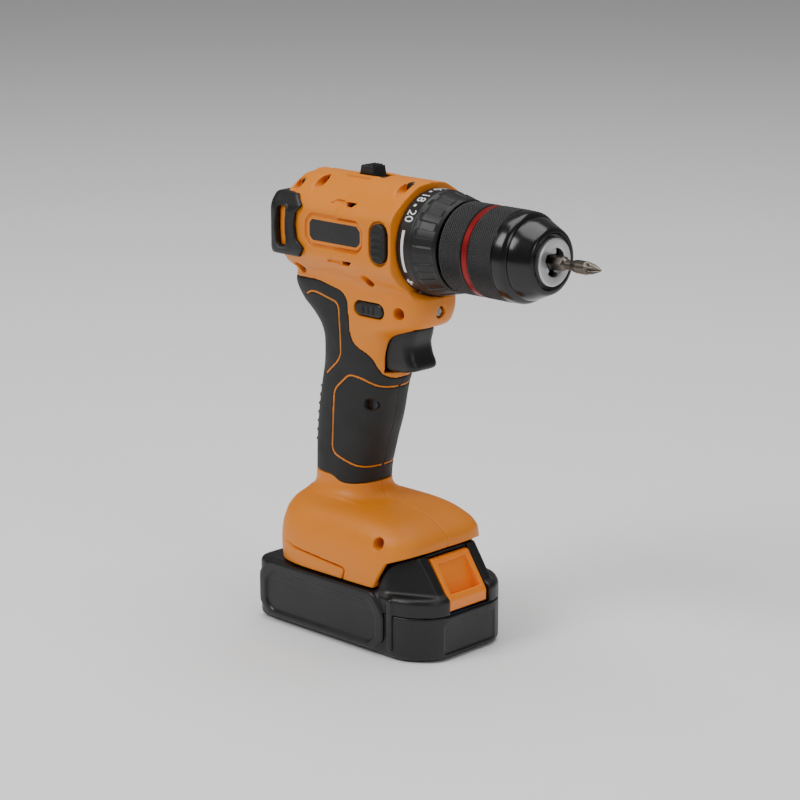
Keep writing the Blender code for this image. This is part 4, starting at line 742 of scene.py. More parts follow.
def solid(
    name: str, grid: Grid, distances: np.ndarray, surface: Surface, mirror: bool = False
) -> bpy.types.Object:
    """Make an object from a distance field.

    Args:
        name: The piece's name.
        grid: The lattice of the field.
        distances: The field.
        surface: Its finish.
        mirror: Whether it lies on the other side of the drill.

    Returns:
        The object.
    """
    points, quads = grid.surface(distances)
    if mirror:
        points = points * np.array([1.0, -1.0, 1.0])
    return mesh_object(name, points, quads, surface)


def lathe(
    name: str,
    profile: Profile,
    surface: Surface,
    segments: int = 128,
    relief: Optional[Callable[[np.ndarray, np.ndarray, np.ndarray], np.ndarray]] = None,
) -> bpy.types.Object:
    """Turn a closed profile about the spindle's axis.

    Args:
        name: The piece's name.
        profile: Stations and radii in millimetres.
        surface: Its finish.
        segments: Steps round the axis.
        relief: Adds to the radius, given stations, angles and radii.

    Returns:
        The object, with hard corners kept.
    """
    rows = np.array(profile, float)
    angles = 2 * math.pi * np.arange(segments) / segments
    x = np.repeat(rows[:, :1], segments, axis=1)
    r = np.repeat(rows[:, 1:], segments, axis=1)
    turn = np.repeat(angles[None, :], len(rows), axis=0)
    if relief:
        r = r + relief(x, turn, r)
    points = np.stack([x, -r * np.sin(turn), SPINDLE_Z + r * np.cos(turn)], axis=-1).reshape(-1, 3)
    index = np.arange(len(rows) * segments).reshape(len(rows), segments)
    ahead, beside = np.roll(index, -1, axis=0), np.roll(index, -1, axis=1)
    corner = np.roll(ahead, -1, axis=1)
    faces = np.stack([index, beside, corner, ahead], axis=-1).reshape(-1, 4)
    made = mesh_object(name, points, faces, surface)
    made.data.set_sharp_from_angle(angle=math.radians(38))
    return made


def dense(profile: Profile, step: float) -> list[tuple[float, float]]:
    """Add points along a profile so that no piece is longer than a step.

    Args:
        profile: Its corners in order.
        step: The longest piece.

    Returns:
        The finer profile.
    """
    fine: list[tuple[float, float]] = []
    for (x0, r0), (x1, r1) in zip(profile, profile[1:]):
        pieces = max(1, math.ceil(math.hypot(x1 - x0, r1 - r0) / step))
        fine += [(x0 + (x1 - x0) * i / pieces, r0 + (r1 - r0) * i / pieces) for i in range(pieces)]
    return [*fine, tuple(profile[-1])]


# ---------------------------------------------------------------------------
# Sub-assemblies
# ---------------------------------------------------------------------------


@dataclass
class SubAssembly:
    """A group of pieces built and dressed together."""

    frame: dict

    def place(
        self, made: bpy.types.Object, body: str, slot: str, replaced: Sequence[str] = ()
    ) -> bpy.types.Object:
        """Fix a piece to its body and hide the nodes it stands for.

        Args:
            made: The piece.
            body: The body it moves with.
            slot: The record's material slot meant for it; not used.
            replaced: Names of the nodes it stands for.

        Returns:
            The same piece.
        """
        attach(made, body)
        if replaced:
            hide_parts(*replaced)
        return made

    def build(self) -> None:
        """Make the sub-assembly's pieces."""
        raise NotImplementedError


@dataclass
class BodyForm:
    """The outer form that the housing, its rubber and its cover are all cut from."""

    barrel_half: float = 27.0
    barrel_top: float = 26.55
    barrel_bottom: float = 25.0
    barrel_rear: float = -49.0
    barrel_front: float = 31.6
    gear_start: float = -9.0
    gear_proud: float = 1.4
    wall: float = 2.6
    seam: float = 0.12
    rubber_thickness: float = 1.3
    # Height, rear, front, half-width and squareness of each section.
    grip_rows: tuple = (
        (58.5, -41.0, 2.0, 17.5, 2.5),
        (64.5, -40.5, 0.0, 17.0, 2.5),
        (74.6, -39.7, -2.0, 16.2, 2.5),
        (92.9, -39.4, 2.0, 16.2, 2.5),
        (107.7, -38.1, 6.7, 16.5, 2.5),
        (123.9, -35.4, 10.4, 16.6, 2.5),
        (132.0, -34.0, 13.0, 16.6, 2.5),
        (136.5, -33.2, 13.5, 16.8, 2.6),
        (144.5, -32.8, 14.0, 17.0, 2.7),
        (152.5, -35.0, 19.0, 17.4, 3.0),
        (158.0, -39.5, 33.0, 17.8, 3.6),
        (163.5, -46.0, 37.3, 18.0, 3.8),
        (172.5, -51.0, 38.5, 18.4, 3.8),
        (179.5, -47.0, 31.0, 18.4, 3.5),
    )
    foot_rows: tuple = (
        (32.5, -49.0, 44.0, 33.4, 4.6),
        (40.8, -49.5, 44.0, 34.0, 4.6),
        (50.6, -49.0, 43.2, 33.3, 4.6),
        (55.5, -48.0, 42.4, 32.0, 4.6),
        (59.5, -46.8, 37.5, 30.0, 4.6),
        (64.5, -44.0, 24.0, 24.5, 4.2),
        (66.6, -42.0, 9.0, 18.0, 3.6),
    )
    rubber_edge: tuple = (
        (-62, 172.9), (-28, 175), (-11, 171.5), (-7.5, 168), (-6.5, 150.5), (-4, 146), (5.5, 141),
        (9.5, 131.5), (14, 128.5), (40, 128.5), (40, 88), (18, 81.5), (2, 75.5), (-8, 74.3), (-15, 74.3),
        (-21, 77.5), (-62, 77.5),
    )

    def section(self, grow: float = 0.0) -> Outline:
        """The barrel's section, across and above the spindle's axis.

        Args:
            grow: How far it is offset outwards.

        Returns:
            Its rounded outline.
        """
        half, top, bottom = self.barrel_half, self.barrel_top, self.barrel_bottom
        right = [
            (0, top), (9, top - 1), (17.5, top - 6), (24.5, 15), (half, 11), (half, -11),
            (21.5, -18), (12, -23.8), (0, -bottom),
        ]
        left = [(-y, z) for y, z in right[-2:0:-1]]
        return filleted([(y * (1 + grow / half), z * (1 + grow / half)) for y, z in right + left], 2.2, 3)

    def barrel(self, g: Grid, grow: float = 0.0) -> np.ndarray:
        """Distances to the barrel.

        Args:
            g: The lattice.
            grow: How far its section is offset outwards.

        Returns:
            The field.
        """
        flat = outline_distance(self.section(), g.y, g.z - SPINDLE_Z) - grow
        rear = self.barrel_rear - grow - g.x
        round_end = common(flat, rear, 9.0)
        return np.maximum(round_end, g.x - self.barrel_front)

    def gear_part(self, g: Grid) -> np.ndarray:
        """Distances to the raised band round the gearbox.

        Args:
            g: The lattice.

        Returns:
            The field.
        """
        flat = outline_distance(self.section(), g.y, g.z - SPINDLE_Z) - self.gear_proud
        start = self.gear_start + 0.35 * np.abs(g.z - SPINDLE_Z - 2) - g.x
        return np.maximum(common(flat, start * 0.94, 0.4), g.x - self.barrel_front)

    def column(self, g: Grid, rows: tuple, low: float, high: float) -> np.ndarray:
        """Distances to a part made of squared ovals, one above the other.

        Args:
            g: The lattice.
            rows: Its sections.
            low: Height of its underside.
            high: Height of its top.

        Returns:
            The field.
        """
        flat = oval_distance(g.x, g.y, through_rows(rows, g.z[0, 0]), g.step)
        return np.maximum(flat, np.maximum(low - g.z, g.z - high))

    def outer(self, g: Grid) -> np.ndarray:
        """Distances to the whole body.

        Args:
            g: The lattice.

        Returns:
            The field.
        """
        stalk = self.column(g, self.grip_rows, 58.5, 184.0)
        foot = self.column(g, self.foot_rows, DECK_Z, 66.6)
        upper = union(union(self.barrel(g), self.gear_part(g)), stalk, 4.0)
        return union(upper, foot, 7.0)

    def rubber_region(self, g: Grid) -> np.ndarray:
        """Distances across the side to the outline that the rubber fills.

        Args:
            g: The lattice.

        Returns:
            The field, the same at every depth.
        """
        return outline_distance(filleted(list(self.rubber_edge), 3.5), g.x, g.z)


@dataclass
class Housing(SubAssembly):
    """Two moulded halves with their vents, screw holes and openings."""

    form: BodyForm = field(default_factory=BodyForm)
    step: float = 0.54
    boss: float = 5.2
    # Along, height and depth of the head of each screw.
    screws: tuple = (
        (-42, 219.8, -12), (-29, 221.9, -7), (24.4, 224.6, -7), (-38.5, 179.7, -15),
        (25.5, 165.5, -10), (*GRIP_SCREW, -10.5), (26, 54.9, -24),
    )
    blind_holes: tuple = ((10.0, 180.0, -15.0),)

    def cuts(self, g: Grid, shell: np.ndarray) -> np.ndarray:
        """Open the shell for what moves through it.

        Args:
            g: The lattice.
            shell: Distances to the shell.

        Returns:
            The opened shell.
        """
        notch = outline_distance([(23.5, 32.0), (31.2, 46.1), (42.5, 50.1), (60, 50.1), (60, 32.0)], g.x, g.z)
        shell = cut(shell, notch, 0.5)
        deep = np.maximum(-38 - g.x, g.z - 40.6)
        shell = np.maximum(shell, -np.maximum(np.abs(g.y) - 22.5, deep))
        shell = np.maximum(shell, -np.maximum(np.maximum(np.abs(g.y) - 26.5, 36.2 - g.z), deep))
        trigger_slot = np.maximum(np.abs(g.y) - 10, between(g.z, TRIGGER_LOW, TRIGGER_HIGH))
        shell = cut(shell, np.maximum(trigger_slot, -8 - g.x), 0.4)
        selector = outline_distance(stadium(SELECTOR, 19.9, 7.9), g.x, g.z)
        shell = cut(shell, np.maximum(selector, 12 - g.y), 0.4)
        top_slot = np.maximum(np.abs(g.x + 4.3) - 8.7, np.abs(g.y) - 4.8)
        shell = cut(shell, np.maximum(top_slot, SPINDLE_Z + 15 - g.z), 0.4)
        slide_room = np.maximum(np.abs(g.x + 4.2) - 12.0, np.abs(g.y) - 6.2)
        height = np.maximum(SPINDLE_Z + 15 - g.z, g.z - SPINDLE_Z - 26.5)
        shell = np.maximum(shell, -np.maximum(slide_room, height))
        lamp = np.sqrt(g.y**2 + (g.z - LAMP_Z) ** 2) - 2.9
        shell = cut(shell, np.maximum(lamp, 28 - g.x), 0.5)
        across = np.sqrt(g.y**2 + (g.z - SPINDLE_Z) ** 2)
        shell = np.maximum(shell, -np.maximum(across - 25.9, 31.8 - g.x))
        throat = across - 20.9
        return np.maximum(shell, -np.maximum(throat, 24 - g.x))

    def trims(self, g: Grid, outer: np.ndarray, shell: np.ndarray) -> np.ndarray:
        """Cut the side's recesses, vents and grooves.

        Args:
            g: The lattice.
            outer: Distances to the whole body.
            shell: Distances to the shell.

        Returns:
            The trimmed shell.
        """
        z = g.z - SPINDLE_Z
        plate = [(-27, -2), (-23.5, -6), (9, -6), (13, -2), (13, 6), (9, 10), (-23.5, 10), (-27, 6)]
        frame_edge = outline_distance(filleted(plate, 1.5), g.x, z)
        shell = cut(shell, np.maximum(frame_edge, 25.7 - g.y), 0.7)
        lip = np.abs(outline_distance(filleted(plate, 1.5), g.x, z) + 2.2) - 0.9
        shell = union(shell, pushed(lip, g.y, 23.5, 26.9, 0.4), 0.3)
        bumper = outline_distance(stadium((0, 0), 21.5, 12.5), z - 1, g.x - 23.7)
        shell = cut(shell, np.maximum(bumper, 26.6 - g.y), 0.5)
        for low in (15.2, -12.4):
            vent = [(-13, low), (3.0, low), (5.0, low + 1.9), (-10.5, low + 1.9)]
            flat = outline_distance(vent, g.x, z)
            shell = cut(shell, np.maximum(flat, -(outer + 0.9)), 0.3)
            shell = cut(shell, np.maximum(np.maximum(flat, -1.5 - g.x), 17 - g.y), 0.3)
        slit = outline_distance(stadium((0, 0), 11, 1.8), z - 2, g.x + 40.2 - 0.05 * z)
        shell = cut(shell, np.maximum(slit, 20 - g.y), 0.3)
        route = smooth_path([(-47, 45.5), (-30, 41.5), (6, 38.5), (3.5, 33.0)])
        groove = path_distance(route, g.x, g.z) - 0.45
        return cut(shell, np.maximum(groove, 31.9 - g.y), 0.3)

    def holes(self, g: Grid, outer: np.ndarray, shell: np.ndarray) -> np.ndarray:
        """Add the screw holes with their bosses.

        Args:
            g: The lattice.
            outer: Distances to the whole body.
            shell: Distances to the shell.

        Returns:
            The bored shell.
        """
        for x, z, y in (*self.screws, *self.blind_holes):
            hole = np.sqrt((g.x - x) ** 2 + (g.z - z) ** 2)
            skinned = (x, z) == GRIP_SCREW
            under = 1.9 if skinned else 0.6
            post = np.maximum(np.maximum(hole - self.boss, -y - 2.5 - g.y), outer + under)
            shell = np.minimum(shell, post)
            wide, floor = (SCREW_HOLE + 1.4, -y - 1.5) if skinned else (SCREW_HOLE, -y)
            shell = cut(shell, np.maximum(hole - wide, floor - g.y), 0.5)
            shell = np.maximum(shell, -np.maximum(hole - 1.7, -y - 3 - g.y))
        return shell

    def build(self) -> None:
        """Make both halves."""
        g = Grid((-62, 0.1, 31.8), (46, 36, 229), self.step)
        outer = self.form.outer(g)
        region = self.form.rubber_region(g)
        skin = np.maximum(region - self.form.seam, -(outer + self.form.rubber_thickness + 0.1))
        hollow = outer + self.form.wall
        band = np.maximum(region - 3, outer + self.form.wall + self.form.rubber_thickness)
        room = union(np.maximum(hollow, -(region - 3)), band)
        room = np.maximum(room, g.y - np.where(g.z > 150, 24.0, 60.0))
        top_base = pushed(
            np.maximum(np.abs(g.x - SLIDER_X) - 10.2, np.abs(g.y) - 7.6), g.z - SPINDLE_Z, 18, 27.6, 0.6
        )
        knob = pushed(np.sqrt((g.x + 41) ** 2 + g.y**2) - 3.4, g.z - SPINDLE_Z, 20, 26.6, 0.5)
        body = union(union(outer, top_base, 0.8), knob, 0.6)
        shell = np.maximum(cut(body, skin), -room)
        seam = between(g.y, 0.25, 0.55)
        shell = np.maximum(shell, -np.maximum(seam, -(outer + 0.45)))
        shell = self.trims(g, outer, self.cuts(g, shell))
        right = self.holes(g, outer, shell)
        for side, shape, mirror in (("left", shell, False), ("right", right, True)):
            made = solid(f"{side}_housing", g, shape, Surface.AMBER_NYLON, mirror)
            self.place(made, "drill", "amber_nylon", [f"{side}_shell"])


@dataclass
class GripSkins(SubAssembly):
    """Soft rubber over the grip, with thin amber lines let into it."""

    form: BodyForm = field(default_factory=BodyForm)
    step: float = 0.45
    line_width: float = 1.1
    upper_line: tuple = (
        (-37, 166.5), (-33, 168.5), (-28, 168.5), (-15, 165.5), (-13.5, 162.5), (-13.5, 139.5),
        (-16, 135.5), (-25.5, 128),
    )
    lower_line: tuple = (
        (29, 128.5), (16, 124), (7, 126), (0, 129.5), (-8, 130.5), (-17, 122.5), (-18.5, 119.5),
        (-20.5, 91.5), (-19, 88.5), (-6, 83.5), (-1, 83), (10, 85.5), (17, 89.5),
    )

    def build(self) -> None:
        """Make the skin and the lines on each side."""
        g = Grid((-56, 0.05, 74), (22, 21, 178), self.step)
        outer = self.form.outer(g)
        region = self.form.rubber_region(g)
        inside = outer + self.form.rubber_thickness
        skin = common(outer, region + 0.05, 0.5)
        lines = np.minimum(
            path_distance(smooth_path(list(self.upper_line)), g.x, g.z),
            path_distance(smooth_path(list(self.lower_line)), g.x, g.z),
        )
        half = self.line_width / 2
        on_side = 0.6 - g.y
        groove = np.maximum(lines - half, on_side)
        skin = cut(np.maximum(skin, -inside), np.maximum(groove, -(outer + 0.7)), 0.3)
        for i in range(7):
            height = 92 + 4.6 * i
            rib = np.sqrt((g.z - height) ** 2 + (outer + 0.05) ** 2) - 0.65
            skin = np.minimum(skin, np.maximum(np.maximum(rib, g.x + 31), g.y - 11))
        opening = np.maximum(np.abs(g.y) - 10, np.maximum(TRIGGER_LOW - g.z, 4 - g.x))
        skin = np.maximum(skin, -opening)
        hole = np.sqrt((g.x - GRIP_SCREW[0]) ** 2 + (g.z - GRIP_SCREW[1]) ** 2) - SCREW_HOLE
        right = cut(skin, np.maximum(hole, 8 - g.y), 0.6)
        sleeve = np.maximum(np.maximum(hole - 1.2, -hole), np.maximum(10.7 - g.y, outer + 0.4))
        right = np.minimum(right, sleeve)
        line = np.maximum(np.maximum(lines - half + 0.03, on_side), np.maximum(outer + 0.15, -(outer + 1.25)))
        line = np.maximum(line, region + 0.4)
        for side, shape, mirror in (("left", skin, False), ("right", right, True)):
            made = solid(f"{side}_grip_skin", g, shape, Surface.ELASTOMER, mirror)
            self.place(made, "drill", "black_elastomer", [f"{side}_grip_rubber"])
            made = solid(f"{side}_grip_lines", g, line, Surface.AMBER_NYLON, mirror)
            self.place(made, "drill", "amber_nylon")


@dataclass
class RearCover(SubAssembly):
    """The black end cover that wraps the barrel's rear, with a framed slot in each side."""

    form: BodyForm = field(default_factory=BodyForm)
    proud: float = 2.2
    edge: tuple = (
        (-60, 16), (-45, 18), (-35, 17.5), (-28.5, 12.5), (-32, 9.5), (-33, 3.5), (-32, -3.5),
        (-27, -8), (-30, -12.5), (-60, -12.5),
    )
    slot: tuple = ((-44, 11.5), (-38, 11.5), (-39, 2), (-38, -7.5), (-44, -7.5), (-45.2, 2))

    def build(self) -> None:
        """Make the cover in one piece."""
        g = Grid((-53, -30, 183), (-24, 30, 221), 0.45)
        z = g.z - SPINDLE_Z
        flat = outline_distance(self.form.section(), g.y, z) - self.proud
        whole = common(flat, -51.4 - g.x, 6.0)
        cover = common(whole, outline_distance(filleted(list(self.edge), 0.8), g.x, z), 0.7)
        cover = np.maximum(cover, -(self.form.barrel(g) - 0.15))
        opening = outline_distance(filleted(list(self.slot), 1.8), g.x, z)
        rim = np.maximum(np.abs(opening - 0.9) - 0.55, flat - 0.5)
        cover = np.minimum(cover, np.maximum(rim, -(self.form.barrel(g) - 0.15)))
        cover = cut(cover, np.maximum(opening, 14 - np.abs(g.y)), 0.5)
        for low in (-9, -5, -1, 3, 7, 11):
            rib = pushed(np.maximum(np.abs(g.y) - 15, np.abs(z - low) - 0.8), -g.x, 50, 52.3, 0.4)
            cover = union(cover, rib, 0.4)
        self.place(solid("end_cover", g, cover, Surface.BLACK_NYLON), "drill", "black_nylon", ["rear_cover"])


@dataclass
class SideTrim(SubAssembly):
    """Ribbed bumpers and plain label plates on the barrel's sides."""

    bumper_x: float = 23.75
    bumper_length: float = 19.0
    bumper_width: float = 9.6

    def bumper(self) -> tuple[Grid, np.ndarray]:
        """The bumper's lattice and field."""
        g = Grid((17, 25.5, 188), (31, 30.6, 213), 0.3)
        z = g.z - SPINDLE_Z
        edge = stadium((0, 0), self.bumper_length, self.bumper_width)
        flat = outline_distance(edge, z - 1, g.x - self.bumper_x)
        pad = pushed(flat, g.y, 25.8, 29.2, 0.9)
        for low in (-4.6, -1.4, 1.8, 5.0):
            bar = np.maximum(np.abs(g.x - self.bumper_x) - 3.4, np.abs(z - low) - 0.75)
            pad = union(pad, pushed(bar, g.y, 28, 30.0, 0.4), 0.5)
        return g, pad

    def plate(self) -> tuple[Grid, np.ndarray]:
        """The label plate's lattice and field."""
        g = Grid((-27, 25.2, 193), (14, 27.6, 212), 0.3)
        z = g.z - SPINDLE_Z
        edge = [
            (-24, -1.5), (-21.5, -3.8), (7.5, -3.8), (10, -1.5), (10, 5.5), (7.5, 7.8), (-21.5, 7.8),
            (-24, 5.5),
        ]
        flat = outline_distance(filleted(edge, 0.8), g.x, z)
        return g, pushed(flat, g.y, 25.5, 26.7, 0.3)

    def build(self) -> None:
        """Make both on each side."""
        for label, (g, distances), surface, slot, node in (
            ("bumper", self.bumper(), Surface.ELASTOMER, "black_elastomer", "side_bumper"),
            ("label", self.plate(), Surface.LABEL_FILM, "black_nylon", "label_plate"),
        ):
            for side, mirror in (("left", False), ("right", True)):
                made = solid(f"{side}_{label}", g, distances, surface, mirror)
                self.place(made, "drill", slot, [f"{side}_{node}"])


@dataclass
class TorqueCollar(SubAssembly):
    """The clutch setting collar: a printed band behind and raised grips in front."""

    rear: float = 32.0
    length: float = 22.2
    radius: float = 25.1
    front_radius: float = 22.0
    bore: float = 20.8
    grips: int = 18
    digit_height: float = 5.0
    marks: tuple = ("2", "4", "6", "8", "10", "12", "14", "16", "18", "20")
    mark_step: float = 27.0
    last_mark: float = 53.0

    def relief(self, x: np.ndarray, turn: np.ndarray, r: np.ndarray) -> np.ndarray:
        """Sink scallops between the grips.

        Args:
            x: Stations along the axis.
            turn: Angles about it.
            r: Radii there.

        Returns:
            What to add to the radius.
        """
        along = np.clip((x - self.rear - 9.5) / 1.5, 0, 1) * np.clip((self.rear + 21.0 - x) / 1.5, 0, 1)
        wave = np.cos(self.grips * turn)
        dip = np.clip(wave * 2.2 + 0.6, 0, 1)
        return np.where(r > self.bore + 0.5, -0.6 * along * dip, 0.0)

    def glyph(self, text: str, turn: float, x: float, size: float) -> None:
        """Wrap a figure onto the band.

        Args:
            text: The figure.
            turn: Angle from the top towards the user's right, in degrees.
            x: Station of the glyph's foot.
            size: Height of the glyph.
        """
        curve = bpy.data.curves.new(f"print_{text}_{round(turn)}", "FONT")
        curve.body, curve.size, curve.align_x = text, size * 1.38, "CENTER"
        curve.extrude = 0.08
        shape = bpy.data.objects.new(curve.name, curve)
        bpy.context.scene.collection.objects.link(shape)
        mesh = bpy.data.meshes.new_from_object(shape.evaluated_get(bpy.context.evaluated_depsgraph_get()))
        bpy.data.objects.remove(shape)
        held = bmesh.new()
        held.from_mesh(mesh)
        bmesh.ops.subdivide_edges(held, edges=[e for e in held.edges if e.calc_length() > 1.2], cuts=1)
        for vertex in held.verts:
            angle = math.radians(turn) + vertex.co.x / self.radius
            out = self.radius + 0.02 + 0.5 * vertex.co.z
            across, up = -out * math.sin(angle), SPINDLE_Z + out * math.cos(angle)
            vertex.co = Vector((x + vertex.co.y, across, up)) * MM
        held.to_mesh(mesh)
        held.free()
        mesh.materials.append(Surface.WHITE_INK.material())
        made = bpy.data.objects.new(curve.name, mesh)
        bpy.context.scene.collection.objects.link(made)
        self.place(made, "torque_collar", "black_nylon")

    def strip(self, name: str, start: float, end: float, low: float, high: float) -> None:
        """Print a solid patch on the band.

        Args:
            name: The piece's name.
            start: Its first angle in degrees from the top.
            end: Its last angle.
            low: Its first station.
            high: Its last station.
        """
        steps = max(2, math.ceil((end - start) / 2))
        points, faces = [], []
        for i in range(steps + 1):
            angle = math.radians(start + (end - start) * i / steps)
            for x, r in ((low, 25.0), (low, 25.16), (high, 25.16), (high, 25.0)):
                points.append((x, -r * math.sin(angle), SPINDLE_Z + r * math.cos(angle)))
            if i:
                a, b = 4 * (i - 1), 4 * i
                faces += [(a + k, a + (k + 1) % 4, b + (k + 1) % 4, b + k) for k in range(4)]
        faces += [(3, 2, 1, 0), tuple(4 * steps + k for k in range(4))]
        made = mesh_object(name, np.array(points), faces, Surface.WHITE_INK)
        made.data.shade_flat()
        self.place(made, "torque_collar", "black_nylon")

    def build(self) -> None:
        """Make the collar and its print."""
        rear, front, r = self.rear + 0.05, self.rear + self.length, self.radius
        outside = dense(
            [(rear, r - 0.6), (rear + 0.6, r), (rear + 8.6, r), (rear + 9.4, r - 0.5), (rear + 12, r - 0.5),
             (front - 1.2, self.front_radius + 0.5), (front, self.front_radius - 0.4)], 0.5
        )
        profile = [(rear, self.bore), *outside, (front, self.bore)]
        made = lathe("setting_collar", profile, Surface.BLACK_NYLON, 480, self.relief)
        self.place(made, "torque_collar", "black_nylon", ["torque_collar"])
        for i, mark in enumerate(reversed(self.marks)):
            self.glyph(mark, self.last_mark - self.mark_step * i, self.rear + 2.4, self.digit_height)
            if i:
                middle = self.last_mark - self.mark_step * (i - 0.5)
                self.strip(f"print_dot_{i}", middle - 1.6, middle + 1.6, self.rear + 3.2, self.rear + 4.6)
        self.strip("print_bar", 70, 117, self.rear + 3.2, self.rear + 4.8)
        self.strip("print_bit_shank", 127, 137, self.rear + 2.6, self.rear + 3.5)
        self.strip("print_bit_body", 129.5, 133, self.rear + 1.8, self.rear + 5.2)


@dataclass
class Chuck(SubAssembly):
    """The keyless chuck: knurled sleeve, red ring, polished front and steel nose."""

    rear: float = 55.0
    radius: float = 21.6
    ring: tuple = (69.8, 73.2)
    knurl_end: float = 87.5
    groove: float = 97.0
    front: float = 106.6
    nose: float = 107.95
    bore: float = 18.4
    diamonds: int = 96
    knurl_depth: float = 0.42

    def knurl(self, x: np.ndarray, turn: np.ndarray, r: np.ndarray) -> np.ndarray:
        """Cut two crossing sets of shallow grooves.

        Args:
            x: Stations along the axis.
            turn: Angles about it.
            r: Radii there.

        Returns:
            What to add to the radius.
        """
        slope = self.diamonds / self.radius
        one, two = self.diamonds * turn + slope * x, self.diamonds * turn - slope * x
        peaks = np.minimum(np.abs(np.sin(one / 2)), np.abs(np.sin(two / 2)))
        behind = (x > self.rear + 1.5) & (x < self.ring[0] - 1.0)
        ahead = (x > self.ring[1] + 1.0) & (x < self.knurl_end)
        on = (behind | ahead) & (r > self.radius - 1.0)
        return np.where(on, (peaks - 0.75) * self.knurl_depth, 0.0)

    def build(self) -> None:
        """Make the sleeve, the ring and the nose."""
        r, (low, high) = self.radius, self.ring
        outside = [
            (self.rear + 0.05, r - 1.2), (self.rear + 1.2, r),
            *dense([(self.rear + 1.6, r), (low - 0.6, r)], 0.2), (low - 0.3, r - 0.4),
            (low - 0.3, r - 1.9), (high + 0.3, r - 1.9), (high + 0.3, r - 0.4),
            *dense([(high + 0.6, r), (self.knurl_end, r)], 0.2), (self.knurl_end + 0.3, r - 0.35),
            (self.knurl_end + 0.8, r - 0.35), (self.knurl_end + 1.2, r - 0.05), (93.0, r - 0.25),
            (94.4, r - 0.9), (95.2, r - 2.0), (95.6, r - 2.9), (96.6, r - 3.1), (self.groove, r - 2.4),
            (self.groove + 0.6, r - 2.5), (100.0, 18.0), (104.6, 16.0), (105.8, 15.4), (106.3, 14.9),
            (self.front, 14.2), (self.front, 13.4), (105.6, 12.6), (105.4, 11.3),
        ]
        profile = [(self.rear + 0.05, self.bore), *outside, (97.0, 11.3), (94.0, self.bore)]
        sleeve = lathe("chuck_grip", profile, Surface.GLOSS_NYLON, 576, self.knurl)
        sleeve.data.materials.append(Surface.BLACK_NYLON.material())
        self.place(sleeve, "chuck_sleeve", "black_nylon", ["chuck_sleeve"])
        for face in sleeve.data.polygons:
            x = face.center.x / MM
            face.material_index = int(x < self.knurl_end and abs(x - (low + high) / 2) > 1.6)
        band = [
            (low, r - 1.8), (low, r - 0.45), (low + 0.3, r - 0.15), (high - 0.3, r - 0.15),
            (high, r - 0.45), (high, r - 1.8),
        ]
        made = lathe("red_band", band, Surface.RED_ANODISED, 160)
        self.place(made, "chuck_sleeve", "red_anodised", ["red_grip_ring"])
        nose = [
            (103.0, 7.0), (103.0, 11.05), (107.75, 11.1), (self.nose + 0.3, 10.5), (self.nose + 0.3, 7.9),
            (self.nose + 0.05, 6.78), (105.0, 6.78),
        ]
        ring = lathe("nose_ring", nose, Surface.GROUND_STEEL, 160)
        self.place(ring, "spindle", "ground_steel")


@dataclass
class DriverBit(SubAssembly):
    """A quarter-inch hexagon bit with a ground neck and a fluted cross point."""

    flat: float = 6.35
    rear: float = 76.6
    shank_end: float = 114.0
    tip: float = 135.0

    def relief(self, x: np.ndarray, turn: np.ndarray, r: np.ndarray) -> np.ndarray:
        """Shape the hexagon and the cross point.

        Args:
            x: Stations along the axis.
            turn: Angles about it.
            r: Radii there.

        Returns:
            What to add to the radius.
        """
        within = np.mod(turn + math.pi / 6, math.pi / 3) - math.pi / 6
        hexagon = np.minimum(self.flat / 2 / np.cos(within), r) - r
        wing = np.abs(np.cos(2 * (turn + 0.4 + (x - 127) * 0.02)))
        flute = -r * 0.62 * (1 - wing**1.6) * np.clip((x - 126.4) / 2.2, 0, 1)
        return np.where(x < self.shank_end + 0.4, hexagon, flute)

    def build(self) -> None:
        """Make the bit."""
        across = self.flat / 2
        corner = across / math.cos(math.pi / 6) - 0.12
        profile = dense(
            [(self.rear, 0.3), (self.rear, across - 0.3), (self.rear + 0.8, corner),
             (self.shank_end - 0.6, corner), (self.shank_end + 0.4, across - 0.4), (115.2, 2.3),
             (118.4, 2.3), (120.2, 2.9), (121.5, 3.1), (127.0, 3.1), (131.0, 2.3), (134.0, 1.0),
             (self.tip - 0.1, 0.45), (self.tip - 0.05, 0.1)], 0.35
        )
        made = lathe("hex_bit", profile, Surface.BIT_STEEL, 144, self.relief)
        made.data.set_sharp_from_angle(angle=math.radians(22))
        self.place(made, "spindle", "ground_steel", ["driver_bit"])


